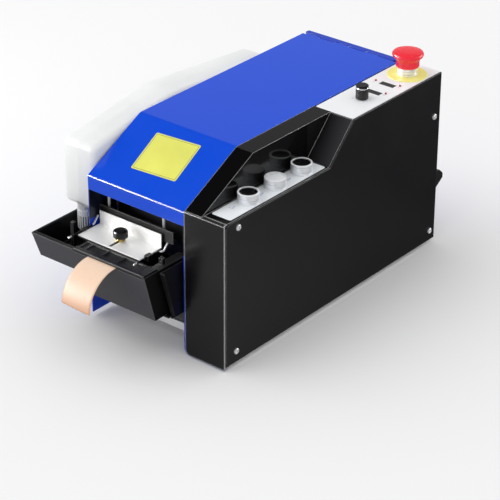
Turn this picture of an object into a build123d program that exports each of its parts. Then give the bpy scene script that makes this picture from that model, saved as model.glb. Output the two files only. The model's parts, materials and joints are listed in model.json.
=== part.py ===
"""Gummed tape dispenser: an electric counter machine that feeds, cuts and wets paper tape.

Millimetres, +Z up. Everything is drawn in machine coordinates: x runs leftwards as negative from
the outer face of the right side panel, y runs backwards from the front plane, z runs up from the
surface the machine stands on. The export moves it so that the origin is the centre of the footprint.
"""
import math
import os

from build123d import *

# ---------------------------------------------------------------- driving dimensions
BODY_WIDTH = 237.5
BODY_DEPTH = 478.5
TOP_Z = 270.0
FRONT_TOP_Z = 216.0
CREASE_Y = 106.2
SIDE_BOTTOM_Z = 6.0
COVER_BOTTOM_Z = 2.5
CONTROL_WIDTH = 68.5
SHEET = 2.0
THIN_SHEET = 1.8
SEAM = 0.6
FOOT_HEIGHT = 8.0

# control side: recess for the push-buttons, ramp and panel
RECESS_FLOOR_Z = 217.0
RECESS_WALL_X = -40.0
RAMP_FOOT_Y = 221.0
PANEL_FRONT_Y = 273.0
PANEL_PLATE = 1.5
BUTTON_X = -22.0
BUTTON_YS = {"front": 74.5, "middle": 130.0, "rear": 186.5}
KNOB_X, KNOB_Y = -33.0, 334.0
ESTOP_X, ESTOP_Y = -33.1, 440.7

# lid
LID_LIP_Z = 195.0
LID_REAR_Y = 464.3
HINGE_Y, HINGE_Z = 467.2, 267.8
LID_SWEEP_R = 4.2

# front unit: water tank, top frame, pressing plate
TANK_FRONT_Y = -60.0
TANK_LEAN = 20.0 / 72.0
TANK_TOP_Z = 134.0
WING_TOP_Z = 137.0
TANK_BOTTOM_Z = 65.0
WING_BOTTOM_Z = 100.0
TANK_RIGHT_X = -85.5
TANK_STEP_X = -200.0
WING_LEFT_X = -288.0
WING_RIGHT_X = -241.0
WING_TAPER = 5.5
TANK_REAR_Y = 38.0
WALL = 2.5

# tape
TAPE_LEFT_X, TAPE_RIGHT_X = -186.0, -136.0
TAPE_Z = 134.3
TAPE_THICK = 0.35
TAPE_ARC_R = 52.0
TAPE_ARC_DEG = 84.0
ROLL_R = 90.0
CORE_BORE_R = 19.0
ROLL_Y = 330.0
ROLL_Z = 115.0
AXLE_R = 6.0
FEED_R = 12.0
PINCH_R = 10.0
FEED_Y = 118.0
GEAR_MODULE = 1.0
GEAR_TEETH = 40
PINION_TEETH = 16

# bottle
BOTTLE_LEFT_X, BOTTLE_RIGHT_X = -297.5, -240.0
BOTTLE_FRONT_Y, BOTTLE_REAR_Y = 14.5, 404.0
BOTTLE_LOW_Z = 153.0
NECK_X, NECK_Y = -269.5, 25.2

# box of the whole machine, which fixes the origin
SCREW_STAND_OUT = 2.2
SHELF_LIP = 0.5
HOOD_DEPTH = 21.5
FRONT_REACH = TANK_FRONT_Y - (TAPE_ARC_R + TAPE_THICK) * math.sin(math.radians(TAPE_ARC_DEG))
ORIGIN_X = (BOTTLE_LEFT_X - SHELF_LIP + SCREW_STAND_OUT) / 2
ORIGIN_Y = (FRONT_REACH + BODY_DEPTH + HOOD_DEPTH) / 2

# chassis
FOOT_PLACES = [(-215, 60), (-215, 450), (-30, 30), (-30, 450)]
FOOT_STEM_R = 3.6
BASE_FRONT_Y = 38.0
BASE_Z = FOOT_HEIGHT
BASE_TOP_Z = BASE_Z + SHEET
BASE_LIP_Z = 19.0
SCREW_PLACES = [(27, 206), (23, 23), (464.5, 205.5), (466, 21.5)]
KNUCKLE_LENGTH = 25.2
KNUCKLE_R = 2.2
PIN_R = 1.2

# lid
LID_RIGHT_X = -CONTROL_WIDTH - SEAM

# control side
WINDOW_CENTRES = [(-33.2, 361.5), (-33.2, 394.3)]
WINDOW_X, WINDOW_Y = 24.4, 10.6
LED_PLACES = [(-16.5, 367.0), (-16.5, 400.5), (-54.0, 395.0)]
HOOD_X, HOOD_Z = -15.0, 95.0

# push-buttons
SPINDLE_R = 3.0
BEZEL_R = 14.8
BEZEL_TOP_Z = 232.4
BEZEL_FOOT_Z = RECESS_FLOOR_Z + 0.6

# emergency stop and length knob
NECK_TOP_Z = 288.0

# tape path and cutter
PATH_LEFT_X, PATH_RIGHT_X = -224.0, -66.5
WEB_END_Y = 70.0
GUIDE_BAR_R = 5.0
GUIDE_BAR_Y, GUIDE_BAR_Z = 186.0, TAPE_Z + TAPE_THICK + 0.2 + GUIDE_BAR_R
GUIDE_PIN_XS = (-215.0, -105.0)
SOLENOID_X = -160.0
CUTTER_Y = 72.0
BLADE_FACE_Y = 69.4

# water tank
INNER_WALL_Z = 118.0
FRAME_TOP_Z = 139.0
FRAME_LOW_Z = 135.3
FRAME_LEFT_X, FRAME_RIGHT_X = -211.5, -88.2

# pressing plate
PLATE_LEFT_X, PLATE_RIGHT_X = -231.5, -121.5
PLATE_FRONT_Y, PLATE_REAR_Y = -28.5, 16.0
PLATE_Z = 138.0
THUMB_X, THUMB_Y = -177.0, -4.0
LIFT_PIN_XS = (-227.0, -129.0)
LIFT_PIN_Y = 29.0
LIFT_PIN_R = 2.0
ROD_R = 1.3
ROD_Z = 140.6
ROD_XS = (-233.4, -116.6)
RIM_TOP_Z = 166.0

os.makedirs("parts", exist_ok=True)


# ---------------------------------------------------------------- drawing helpers
def box(x0, x1, y0, y1, z0, z1):
    """Block between two corners."""
    return Pos((x0 + x1) / 2, (y0 + y1) / 2, (z0 + z1) / 2) * Box(x1 - x0, y1 - y0, z1 - z0)


def around(x, y, half_x, half_y, z0, z1):
    """Block centred on a place."""
    return box(x - half_x, x + half_x, y - half_y, y + half_y, z0, z1)


def side_profile(points, x0, x1):
    """Outline in (y, z), drawn across the width from x0 to x1."""
    outline = Polyline(*[(x0, y, z) for y, z in points], close=True)
    return extrude(make_face(outline), amount=x1 - x0, dir=(1, 0, 0))


def front_profile(points, y0, y1):
    """Outline in (x, z), drawn backwards from y0 to y1."""
    outline = Polyline(*[(x, y0, z) for x, z in points], close=True)
    return extrude(make_face(outline), amount=y1 - y0, dir=(0, 1, 0))


def rod_z(x, y, radius, z0, z1):
    """Upright round bar."""
    return Pos(x, y, (z0 + z1) / 2) * Cylinder(radius, z1 - z0)


def rod_x(y, z, radius, x0, x1):
    """Round bar along the width."""
    return Pos((x0 + x1) / 2, y, z) * Rot(0, 90, 0) * Cylinder(radius, x1 - x0)


def rod_y(x, z, radius, y0, y1):
    """Round bar along the depth."""
    return Pos(x, (y0 + y1) / 2, z) * Rot(90, 0, 0) * Cylinder(radius, y1 - y0)


def bent_wire(points, bend, radius):
    """Round wire along a polyline with rounded corners."""
    path = FilletPolyline(*points, radius=bend)
    section = Plane(origin=path @ 0, z_dir=path % 0) * Circle(radius)
    return sweep(section, path=path)


def turned(outline, x, y):
    """Solid of revolution about an upright axis, from an outline of (radius, z)."""
    ring = make_face(Polyline(*[(r, 0, z) for r, z in outline], close=True))
    return Pos(x, y, 0) * revolve(ring, axis=Axis.Z)


def edges_near(shape, axis, test):
    """Straight edges along an axis that pass a test on their centre."""
    return [e for e in shape.edges().filter_by(axis) if test(e.center())]


def save(name, shape):
    """Moves a finished piece to the export origin and writes it."""
    export_step(Pos(-ORIGIN_X, -ORIGIN_Y, 0) * shape, f"parts/{name}.step")


def together(pieces):
    """One node of several separate solids."""
    return Compound(children=[solid for piece in pieces for solid in piece.solids()])


# ---------------------------------------------------------------- chassis
def slope_z(y, drop=0.0):
    """Height of the front slope at a depth, less a drop."""
    return FRONT_TOP_Z + (TOP_Z - FRONT_TOP_Z) * y / CREASE_Y - drop


def base_plate():
    """Bare steel tray: a lip at the front of the bay, and two threaded tabs for the side screws."""
    plate = box(-BODY_WIDTH + 2.2, -2.4, BASE_FRONT_Y, BODY_DEPTH - 2.4, BASE_Z, BASE_TOP_Z)
    plate += box(-BODY_WIDTH + 2.2, -CONTROL_WIDTH - 2, BASE_FRONT_Y, BASE_FRONT_Y + SHEET, BASE_Z, BASE_LIP_Z)
    plate += box(-CONTROL_WIDTH - 2, -2.4, 6, BASE_FRONT_Y, BASE_Z, BASE_TOP_Z)
    for x, y in FOOT_PLACES:
        plate -= rod_z(x, y, FOOT_STEM_R + 0.05, BASE_Z - 1, BASE_TOP_Z + 1)
    for y, z in SCREW_PLACES[1::2]:
        plate += screw_tab(y, z, BASE_TOP_Z - 0.5, z + 8)
    return plate


def rubber_feet():
    feet = []
    for x, y in FOOT_PLACES:
        foot = turned([(0, 0), (10.6, 0), (12.0, 1.2), (12.5, BASE_Z), (FOOT_STEM_R, BASE_Z),
                       (FOOT_STEM_R, BASE_TOP_Z), (4.6, BASE_TOP_Z), (3.2, BASE_TOP_Z + 3), (0, BASE_TOP_Z + 3)], x, y)
        feet.append(foot - rod_z(x, y, 4.0, -1, 3.5))
    return together(feet)


def screw_tab(y, z, z0, z1):
    """Upright threaded tab behind the right side panel, for one side screw."""
    return box(-5.2, -2.6, y - 8, y + 8, z0, z1) - rod_x(y, z, 2.05, -6, -2)


def side_and_rear_panel():
    """Folded blue sheet: left side, rear with the fixed hinge strip, and the bottle's shelf."""
    x0, y1 = -BODY_WIDTH, BODY_DEPTH
    x1, y0 = x0 + THIN_SHEET, BODY_DEPTH - THIN_SHEET
    rear_right = -CONTROL_WIDTH - 0.5
    top = LID_LIP_Z - SEAM
    panel = box(x0, x1, 0, y1, SIDE_BOTTOM_Z, top)
    panel += box(x1, x1 + 10, 40, y0, top - THIN_SHEET, top)
    for row in range(2):
        for column in range(9):
            y, z = 250 + column * 18, 60 + row * 26
            panel -= box(x0 - 1, x1 + 1, y, y + 4, z, z + 18)
    panel += box(x0, rear_right, y0, y1, SIDE_BOTTOM_Z, TOP_Z)
    panel += box(x0, rear_right, HINGE_Y + 2.8, y1, TOP_Z - THIN_SHEET, TOP_Z)
    panel += box(x0, x1, LID_REAR_Y + SEAM, y1, top - 1, TOP_Z)
    panel -= rod_x(HINGE_Y, HINGE_Z, LID_SWEEP_R, x0 - 1, x1 + 1)
    for x in hinge_cells(odd=True):
        panel += hinge_knuckle(x, 1)
    for row in range(5):
        z = 170 + row * 12
        panel -= box(-200, -110, y0 - 1, y1 + 1, z, z + 4)
    return panel + bottle_shelf()


def bottle_shelf():
    """Sloping shelf and its upright, welded to the left side."""
    front, rear = (120, bottle_floor_z(120) - 0.4), (330, bottle_floor_z(330) - 0.4)
    left, right = BOTTLE_LEFT_X - SHELF_LIP, -BODY_WIDTH
    shelf = side_profile([front, rear, (rear[0], rear[1] - 1.8), (front[0], front[1] - 1.8)], left, right)
    return shelf + side_profile([front, rear, (rear[0], 140), (front[0], 140)], right - 1.8, right)


def left_frame_plate():
    """Steel plate inside the left panel that carries the rollers, the cutter and the tank's left side."""
    plate = side_profile([(42, 10), (200, 10), (200, 152), (150, 172), (42, 190)], -226, -224)
    plate += side_profile([(-3, 58), (43, 58), (43, 98), (-3, 98)], -226, -224)
    for y, z, radius in ((FEED_Y, feed_z(), 8.0), (FEED_Y, pinch_z(), 6.0), (GUIDE_BAR_Y, GUIDE_BAR_Z, GUIDE_BAR_R)):
        plate -= rod_x(y, z, radius, -227, -223)
    return plate


def inner_wall():
    """Blue wall between the tape bay and the electronics, folded round behind the front cover."""
    wall = side_profile([(4, 10), (474, 10), (474, 262), (112, 262), (4, 208)], -66.5, -64.5)
    for y, z, radius in ((FEED_Y, feed_z(), 8.0), (FEED_Y, pinch_z(), 6.0), (GUIDE_BAR_Y, GUIDE_BAR_Z, GUIDE_BAR_R)):
        wall -= rod_x(y, z, radius, -67, -64)
    fold = box(-CONTROL_WIDTH - 3.7, -3, 2.2, 4.2, COVER_BOTTOM_Z - 1.9, LID_LIP_Z - SEAM)
    fold = fillet(edges_near(fold, Axis.Y, lambda c: c.X < -60 and c.Z < 10), 10)
    return wall + fold


def hinge_cells(odd):
    """Left ends of every second hinge knuckle along the lid's rear edge."""
    first = -232.0
    pitch = 26.0
    return [first + pitch * n for n in range(6) if n % 2 == (1 if odd else 0)]


def hinge_knuckle(x, side):
    """Hinge knuckle with its leaf, which reaches backwards (side 1) or forwards (side -1)."""
    y_leaf = HINGE_Y + side * 3.6
    knuckle = rod_x(HINGE_Y, HINGE_Z, KNUCKLE_R, x, x + KNUCKLE_LENGTH)
    knuckle += box(x, x + KNUCKLE_LENGTH, min(HINGE_Y, y_leaf), max(HINGE_Y, y_leaf),
                   TOP_Z - THIN_SHEET, TOP_Z)
    return knuckle - rod_x(HINGE_Y, HINGE_Z, PIN_R + 0.05, x - 1, x + KNUCKLE_LENGTH + 1)


def lid_hinge_pin():
    return rod_x(HINGE_Y, HINGE_Z, PIN_R, -232.4, -232.4 + 6 * 26.0 + 0.4)


# ---------------------------------------------------------------- lid


def lid():
    x0, x1 = -BODY_WIDTH, LID_RIGHT_X
    t = THIN_SHEET
    outer = [(0, LID_LIP_Z), (0, FRONT_TOP_Z), (CREASE_Y, TOP_Z), (LID_REAR_Y, TOP_Z), (LID_REAR_Y, LID_LIP_Z)]
    shell = side_profile(outer, x0, x1)
    front = edges_near(shell, Axis.X, lambda c: abs(c.Y) < 0.1 and abs(c.Z - FRONT_TOP_Z) < 0.1)
    shell = fillet(front, 5)
    shell = fillet(edges_near(shell, Axis.X, lambda c: abs(c.Y - CREASE_Y) < 0.1), 12)
    inner = [(t, LID_LIP_Z - 1), (t, FRONT_TOP_Z - 0.9), (CREASE_Y + 0.5, TOP_Z - t),
             (LID_REAR_Y + 1, TOP_Z - t), (LID_REAR_Y + 1, LID_LIP_Z - 1)]
    hollow = side_profile(inner, x0 + t, x1 - t)
    hollow = fillet(edges_near(hollow, Axis.X, lambda c: c.Y < 5 and c.Z > FRONT_TOP_Z - 5), 3.2)
    shell -= hollow
    open_side = [(t, LID_LIP_Z - 1), (t, slope_z(t, 14)), (CREASE_Y, TOP_Z - 14), (LID_REAR_Y + 1, TOP_Z - 14),
                 (LID_REAR_Y + 1, LID_LIP_Z - 1)]
    shell -= side_profile(open_side, x1 - t - 0.1, x1 + 1)
    for x in hinge_cells(odd=False):
        shell += hinge_knuckle(x, -1)
    return shell


# ---------------------------------------------------------------- control side
def control_front_cover():
    """Black front sheet with a rounded lower corner and a short return over the top edge."""
    top = FRONT_TOP_Z + 0.8
    cover = box(-CONTROL_WIDTH, -0.6, 0, 2, COVER_BOTTOM_Z, top)
    cover = fillet(edges_near(cover, Axis.Y, lambda c: c.X < -60 and c.Z < 10), 9)
    cover += box(RECESS_WALL_X + 0.2, -2.6, 0, 7, top - 2, top)
    return fillet(edges_near(cover, Axis.X, lambda c: c.Y < 0.1 and c.Z > FRONT_TOP_Z), 1.6)


def control_deck():
    """Black top of the control side: slope band, button recess with its wall and ramp, and panel bed."""
    left, right = -CONTROL_WIDTH, -2.6
    t = SHEET
    start, band_start = 7.3, 2.3
    under = TOP_Z - PANEL_PLATE
    wall_x = RECESS_WALL_X
    rear = PANEL_FRONT_Y - 0.2
    band = [(band_start, slope_z(band_start)), (CREASE_Y, TOP_Z), (rear, TOP_Z), (rear, TOP_Z - t),
            (CREASE_Y + 0.5, TOP_Z - t), (band_start, slope_z(band_start, 2.2))]
    deck = side_profile(band, left, wall_x)
    wall = [(band_start, RECESS_FLOOR_Z - t), (band_start, slope_z(band_start, 0.4)), (CREASE_Y, TOP_Z - 0.2),
            (rear, TOP_Z - 0.2), (RAMP_FOOT_Y + 1, RECESS_FLOOR_Z - t)]
    deck += side_profile(wall, wall_x - t, wall_x)
    deck += box(wall_x - 1, right, start, RAMP_FOOT_Y, RECESS_FLOOR_Z - t, RECESS_FLOOR_Z)
    ramp = [(RAMP_FOOT_Y, RECESS_FLOOR_Z), (PANEL_FRONT_Y - 0.2, TOP_Z - 0.2), (PANEL_FRONT_Y - 0.2, TOP_Z - 3.2),
            (RAMP_FOOT_Y + 0.8, RECESS_FLOOR_Z - t), (RAMP_FOOT_Y - 2, RECESS_FLOOR_Z - t)]
    deck += side_profile(ramp, wall_x - 1, right)
    deck += box(left, right, PANEL_FRONT_Y - 1, BODY_DEPTH - 2.3, under - t, under)
    deck += box(left, right, PANEL_FRONT_Y - 1.4, PANEL_FRONT_Y - 0.2, under - t, TOP_Z - 0.2)
    deck += side_profile([(start, RECESS_FLOOR_Z - 13), (start, slope_z(start, 1)), (CREASE_Y, TOP_Z - 1),
                          (BODY_DEPTH - 2.3, under - 1), (BODY_DEPTH - 2.3, RECESS_FLOOR_Z - 13)], left, left + 1.8)
    for y, z in SCREW_PLACES[0::2]:
        ceiling = RECESS_FLOOR_Z - t if y < RAMP_FOOT_Y else under - t
        deck += screw_tab(y, z, z - 8, ceiling + 0.2)
    for y in BUTTON_YS.values():
        deck -= rod_z(BUTTON_X, y, 11.2, RECESS_FLOOR_Z - 5, RECESS_FLOOR_Z + 1)
    deck -= rod_z(ESTOP_X, ESTOP_Y, 11.2, under - 5, under + 2)
    deck -= rod_z(KNOB_X, KNOB_Y, 3.8, under - 5, under + 2)
    for x, y in WINDOW_CENTRES:
        deck -= around(x, y, WINDOW_X / 2 + 0.6, WINDOW_Y / 2 + 0.6, under - 5, under + 2)
    for x, y in LED_PLACES:
        deck -= rod_z(x, y, 1.6, under - 5, under + 2)
    return deck


def side_outline(gap):
    """Outline of the right side, from the front bottom corner."""
    return [(3, SIDE_BOTTOM_Z), (3, RECESS_FLOOR_Z - gap), (RAMP_FOOT_Y, RECESS_FLOOR_Z - gap),
            (PANEL_FRONT_Y, TOP_Z - gap), (BODY_DEPTH, TOP_Z - gap), (BODY_DEPTH, SIDE_BOTTOM_Z)]


def right_side_panel():
    """Black side plate with bevelled edges, folded round as the control side's rear."""
    panel = side_profile(side_outline(0.3), -SHEET, 0)
    panel = fillet(edges_near(panel, Axis.X, lambda c: c.Y < 4 and c.Z > 200), 9)
    outer = panel.faces().sort_by(Axis.X)[-1]
    panel = chamfer(outer.edges(), 0.4)
    for y, z in SCREW_PLACES:
        panel -= rod_x(y, z, 2.3, -3, 1)
    rear = box(-CONTROL_WIDTH, -1, BODY_DEPTH - 2, BODY_DEPTH - 0.4, SIDE_BOTTOM_Z, TOP_Z - PANEL_PLATE - 0.1)
    rear -= rod_y(HOOD_X, HOOD_Z, 6.5, BODY_DEPTH - 3, BODY_DEPTH + 1)
    for row in range(6):
        z = 170 + row * 11
        rear -= box(-58, -14, BODY_DEPTH - 3, BODY_DEPTH + 1, z, z + 4)
    return panel + rear


def side_screws():
    screws = []
    for y, z in SCREW_PLACES:
        head = rod_x(y, z, 4.4, 0.0, SCREW_STAND_OUT)
        head = fillet(head.edges().sort_by(Axis.X)[-1], 1.3)
        head -= box(0.9, 3, y - 0.6, y + 0.6, z - 2.6, z + 2.6)
        head -= box(0.9, 3, y - 2.6, y + 2.6, z - 0.6, z + 0.6)
        screws.append(head + rod_x(y, z, 2.0, -9, 0.1))
    return together(screws)


def mains_entry_hood():
    """Moulded entry for the mains lead: a rounded boss with a sloping underside."""
    rear = BODY_DEPTH - 0.4
    hood = side_profile([(rear, 80), (rear, 112), (BODY_DEPTH + 13, 110), (BODY_DEPTH + HOOD_DEPTH, 102),
                         (BODY_DEPTH + HOOD_DEPTH, 95)], HOOD_X - 11, HOOD_X + 11)
    long_edges = edges_near(hood, Axis.X, lambda c: c.Y > BODY_DEPTH + 5 and c.Z > 100)
    hood = fillet(long_edges, 5)
    return hood + rod_y(HOOD_X, HOOD_Z, 6.3, BODY_DEPTH - 6, BODY_DEPTH + 1)


def control_panel_plate():
    z1 = TOP_Z
    z0 = z1 - PANEL_PLATE
    plate = box(-66, -2.6, PANEL_FRONT_Y, BODY_DEPTH - 0.3, z0, z1)
    plate = fillet(edges_near(plate, Axis.Z, lambda c: c.Y < PANEL_FRONT_Y + 1), 2.5)
    plate -= rod_z(ESTOP_X, ESTOP_Y, 11.2, z0 - 1, z1 + 1)
    plate -= rod_z(KNOB_X, KNOB_Y, 3.8, z0 - 1, z1 + 1)
    for x, y in WINDOW_CENTRES:
        plate -= around(x, y, WINDOW_X / 2, WINDOW_Y / 2, z0 - 1, z1 + 1)
    for x, y in LED_PLACES:
        plate -= rod_z(x, y, 1.6, z0 - 1, z1 + 1)
    return plate


def display_windows():
    panes = []
    for x, y in WINDOW_CENTRES:
        pane = around(x, y, WINDOW_X / 2 - 0.2, WINDOW_Y / 2 - 0.2, TOP_Z - 3, TOP_Z - 0.2)
        panes.append(pane + around(x, y, WINDOW_X / 2 + 0.4, WINDOW_Y / 2 + 0.4, TOP_Z - 7, TOP_Z - 2.9))
    return together(panes)


def button_label_plate():
    z0 = RECESS_FLOOR_Z
    plate = box(-37.4, -5.6, 18, 218, z0, z0 + 0.6)
    plate = fillet(plate.edges().filter_by(Axis.Z), 3)
    for y in BUTTON_YS.values():
        plate -= rod_z(BUTTON_X, y, 11.2, z0 - 1, z0 + 2)
    return plate


# ---------------------------------------------------------------- push-buttons


def button_bezels():
    """Silver housings of the three push-buttons, with grooves at the foot."""
    return together([button_bezel(y) for y in BUTTON_YS.values()])


def button_bezel(y):
    top, foot = BEZEL_TOP_Z, BEZEL_FOOT_Z
    rim = 12.6
    seat_z = top - 7.5
    outline = [(5.4, 192), (10.9, 192), (10.9, foot), (BEZEL_R, foot), (BEZEL_R, foot + 1.6),
               (BEZEL_R - 0.4, foot + 2.0), (BEZEL_R - 0.4, foot + 2.4), (BEZEL_R, foot + 2.8),
               (BEZEL_R, top - 0.7), (BEZEL_R - 0.7, top), (rim, top), (rim, seat_z), (5.4, seat_z)]
    return turned(outline, BUTTON_X, y)


def button_cap(y, sink, dish):
    """Round cap on its stem; sink is how far it sits below the rim, dish hollows its top."""
    top = BEZEL_TOP_Z - sink
    cap = turned([(0, 188), (5.0, 188), (5.0, top - 3.2), (12.2, top - 3.2), (12.2, top - 0.6),
                  (11.6, top), (0, top)], BUTTON_X, y)
    if dish:
        cap -= Pos(BUTTON_X, y, top + 58.4) * Sphere(60)
    return cap


def contact_blocks():
    """Switch blocks under the three push-buttons and under the emergency stop."""
    blocks = []
    for y in BUTTON_YS.values():
        block = box(BUTTON_X - 12, BUTTON_X + 12, y - 9, y + 9, 160, 192)
        blocks.append(block - rod_z(BUTTON_X, y, 5.5, 182, 193))
    block = box(ESTOP_X - 14, ESTOP_X + 14, ESTOP_Y - 12, ESTOP_Y + 12, 205, 238)
    blocks.append(block - rod_z(ESTOP_X, ESTOP_Y, 5.5, 222, 239))
    potentiometer = rod_z(KNOB_X, KNOB_Y, 11.5, 246, 256) + rod_z(KNOB_X, KNOB_Y, 3.75, 255, TOP_Z + 0.6)
    blocks.append(potentiometer - rod_z(KNOB_X, KNOB_Y, SPINDLE_R + 0.05, 252, TOP_Z + 2))
    return together(blocks)


# ---------------------------------------------------------------- emergency stop and length knob


def estop_disc():
    return turned([(11.2, TOP_Z), (28.4, TOP_Z), (28.4, TOP_Z + 0.9), (28.0, TOP_Z + 1.2), (11.2, TOP_Z + 1.2)],
                  ESTOP_X, ESTOP_Y)


def estop_collar():
    z0 = TOP_Z + 1.2
    return turned([(5.3, 238), (10.9, 238), (10.9, z0), (14.5, z0), (14.5, z0 + 2.4), (14.0, z0 + 3.0),
                   (14.0, NECK_TOP_Z), (5.3, NECK_TOP_Z)], ESTOP_X, ESTOP_Y)


def estop_plunger():
    return rod_z(ESTOP_X, ESTOP_Y, 4.95, 232, 299)


def estop_head():
    points = [(0, 299.4), (5.0, 299.4), (5.0, 293.4), (14.4, 293.4), (14.4, 283.2), (16.0, 283.2), (16.6, 284),
              (16.6, 290.5), (17.2, 293.5), (19.0, 296.2), (21.4, 298.4), (22.2, 300.2), (22.2, 302.2),
              (21.2, 304.0), (18.4, 305.2), (12.0, 306.0), (0, 306.3)]
    return turned(points, ESTOP_X, ESTOP_Y)


def length_knob():
    """Knurled knob with a groove for its bright ring, on a spindle that turns in the potentiometer."""
    z0 = TOP_Z + 1.2
    body = turned([(0, 252.2), (SPINDLE_R, 252.2), (SPINDLE_R, z0), (8.9, z0), (8.9, z0 + 14.6), (8.5, z0 + 14.6),
                   (8.5, z0 + 16.4), (8.9, z0 + 16.4), (8.9, z0 + 18.6), (8.0, z0 + 19.4), (0, z0 + 19.4)],
                  KNOB_X, KNOB_Y)
    for n in range(24):
        angle = math.radians(15 * n)
        body -= rod_z(KNOB_X + 9.25 * math.cos(angle), KNOB_Y + 9.25 * math.sin(angle), 0.6, z0 - 1, z0 + 13.6)
    return body


# ---------------------------------------------------------------- electronics
def control_board():
    """Circuit board beside the inner wall, with its parts and four stand-offs."""
    board = box(-61.6, -60.0, 240, 400, 96, 196)
    for y0, y1, z0, z1, x1 in ((262, 286, 150, 174, -56.5), (300, 316, 110, 126, -48), (350, 386, 104, 114, -51),
                               (330, 376, 176, 190, -52)):
        board += box(-60.5, x1, y0, y1, z0, z1)
    for y in (262, 280, 340):
        board += rod_x(y, 122 if y < 300 else 150, 6.5, -60.5, -40)
    for y, z in ((246, 102), (394, 102), (246, 190), (394, 190)):
        board += rod_x(y, z, 3.2, -64.5, -61) + rod_x(y, z, 3.0, -60.5, -58.4)
    return board


def power_supply():
    supply = box(-60, -12, 250, 420, 10, 62)
    for n in range(12):
        y = 266 + 12 * n
        supply -= box(-52, -20, y, y + 5, 60.5, 63)
    return supply


# ---------------------------------------------------------------- feed works
def feed_z():
    """Axle height of the driven roller, just under the tape."""
    return TAPE_Z - FEED_R - 0.1


def pinch_z():
    """Axle height of the pressing roller, just over the tape."""
    return TAPE_Z + TAPE_THICK + PINCH_R + 0.1


def motor_z():
    """Axle height of the motor, one gear distance under the driven roller."""
    return feed_z() - GEAR_MODULE * (GEAR_TEETH + PINION_TEETH) / 2


def spur_gear(teeth, y, z, x0, x1, phase):
    """Straight toothed wheel along x; phase turns it by parts of one tooth."""
    pitch_r = GEAR_MODULE * teeth / 2
    root_r, tip_r = pitch_r - 1.15 * GEAR_MODULE, pitch_r + 0.8 * GEAR_MODULE
    half = 0.21 * math.pi * GEAR_MODULE
    slant = math.tan(math.radians(20))
    wheel = rod_x(y, z, root_r, x0, x1)
    for n in range(teeth):
        angle = 360 * (n + phase) / teeth
        low, high = root_r - 0.4, tip_r
        tooth = Polyline((x0, low, -half - (pitch_r - root_r) * slant), (x0, high, -half + 0.8 * slant),
                         (x0, high, half - 0.8 * slant), (x0, low, half + (pitch_r - root_r) * slant), close=True)
        solid = extrude(make_face(tooth), amount=x1 - x0, dir=(1, 0, 0))
        wheel += Pos(0, y, z) * Rot(angle, 0, 0) * solid
    return wheel


def feed_shaft():
    """Driven axle with its gear on the electronics side."""
    gear = spur_gear(GEAR_TEETH, FEED_Y, feed_z(), -60, -54, 0.25)
    return rod_x(FEED_Y, feed_z(), 5.0, -228, -52) + gear


def feed_roller():
    sleeve = rod_x(FEED_Y, feed_z(), FEED_R, -192, -130)
    for n in range(5):
        x = -184 + n * 11.5
        sleeve -= rod_x(FEED_Y, feed_z(), FEED_R + 1, x, x + 1.2) - rod_x(FEED_Y, feed_z(), FEED_R - 0.8, x - 1, x + 2)
    return sleeve - rod_x(FEED_Y, feed_z(), 5.0, -193, -129)


def motor_pinion():
    """Motor spindle with its small gear."""
    pinion = spur_gear(PINION_TEETH, FEED_Y, motor_z(), -60.5, -53.5, 0.25)
    return pinion + rod_x(FEED_Y, motor_z(), 3.0, -62, -47.4)


def feed_motor():
    """Motor on four posts that stand off the inner wall."""
    motor = rod_x(FEED_Y, motor_z(), 19, -48, -10)
    motor = fillet(motor.edges().filter_by(GeomType.CIRCLE), 1.5)
    for dy, dz in ((-15, -10), (15, -10), (-17, 4), (17, 4)):
        motor += rod_x(FEED_Y + dy, motor_z() + dz, 2.5, -64.5, -46)
    return motor - rod_x(FEED_Y, motor_z(), 3.05, -49, -47.2)


def pinch_roller():
    roller = rod_x(FEED_Y, pinch_z(), PINCH_R, -190, -132)
    return roller + rod_x(FEED_Y, pinch_z(), 4.0, -228, -62)


def roller_bearings():
    """Flanged bearings of the driven and the pressing roller, in the left plate and the inner wall."""
    rings = []
    for z, shaft_r, outer_r, flange_r in ((feed_z(), 5.0, 8.0, 9.6), (pinch_z(), 4.0, 6.0, 7.6)):
        for x0, x1, flange_x in ((-226.0, -224.0, -224.0), (-66.5, -64.5, -67.9)):
            ring = rod_x(FEED_Y, z, outer_r, x0, x1) + rod_x(FEED_Y, z, flange_r, flange_x, flange_x + 1.4)
            rings.append(ring - rod_x(FEED_Y, z, shaft_r + 0.05, x0 - 3, x1 + 3))
    return together(rings)


# ---------------------------------------------------------------- tape path and cutter


def tape_guide():
    """Flat table on both sides of the driven roller, and the bar that the tape turns under."""
    table = box(-194, -128, 92, 103.5, 131.6, 133.8) + box(-194, -128, 132.5, 158, 131.6, 133.8)
    for x in (-198, -128):
        table += box(x, x + 4, 92, 158, 128.5, 133.8)
    table += box(PATH_LEFT_X, -196, 140, 150, 128.5, 131) + box(-126, PATH_RIGHT_X, 140, 150, 128.5, 131)
    return together([table, rod_x(GUIDE_BAR_Y, GUIDE_BAR_Z, GUIDE_BAR_R, -226, -64.5)])


def cutter_frame():
    """Fixed frame across the bay: top plate, back plate, fixed blade and two guide pins."""
    bridge = box(PATH_LEFT_X, PATH_RIGHT_X, 62, 84, 176, 178)
    bridge += box(PATH_LEFT_X, PATH_RIGHT_X, 82, 84, 148, 176)
    bridge += box(PATH_LEFT_X, -208, 62, 84, 126, 132) + box(-112, PATH_RIGHT_X, 62, 84, 126, 132)
    bridge += box(-209, -111, BLADE_FACE_Y, 75, 126, 133.8)
    bridge -= rod_z(SOLENOID_X, CUTTER_Y, 5.4, 175, 179)
    for x in GUIDE_PIN_XS:
        bridge += rod_z(x, CUTTER_Y, 3.0, 128, 177)
    return bridge


def moving_blade():
    """Slanted shear blade that drops past the fixed blade's front face."""
    return front_profile([(-200, 138.2), (-122, 141), (-122, 160), (-200, 160)], 66.8, 69.0)


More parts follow.
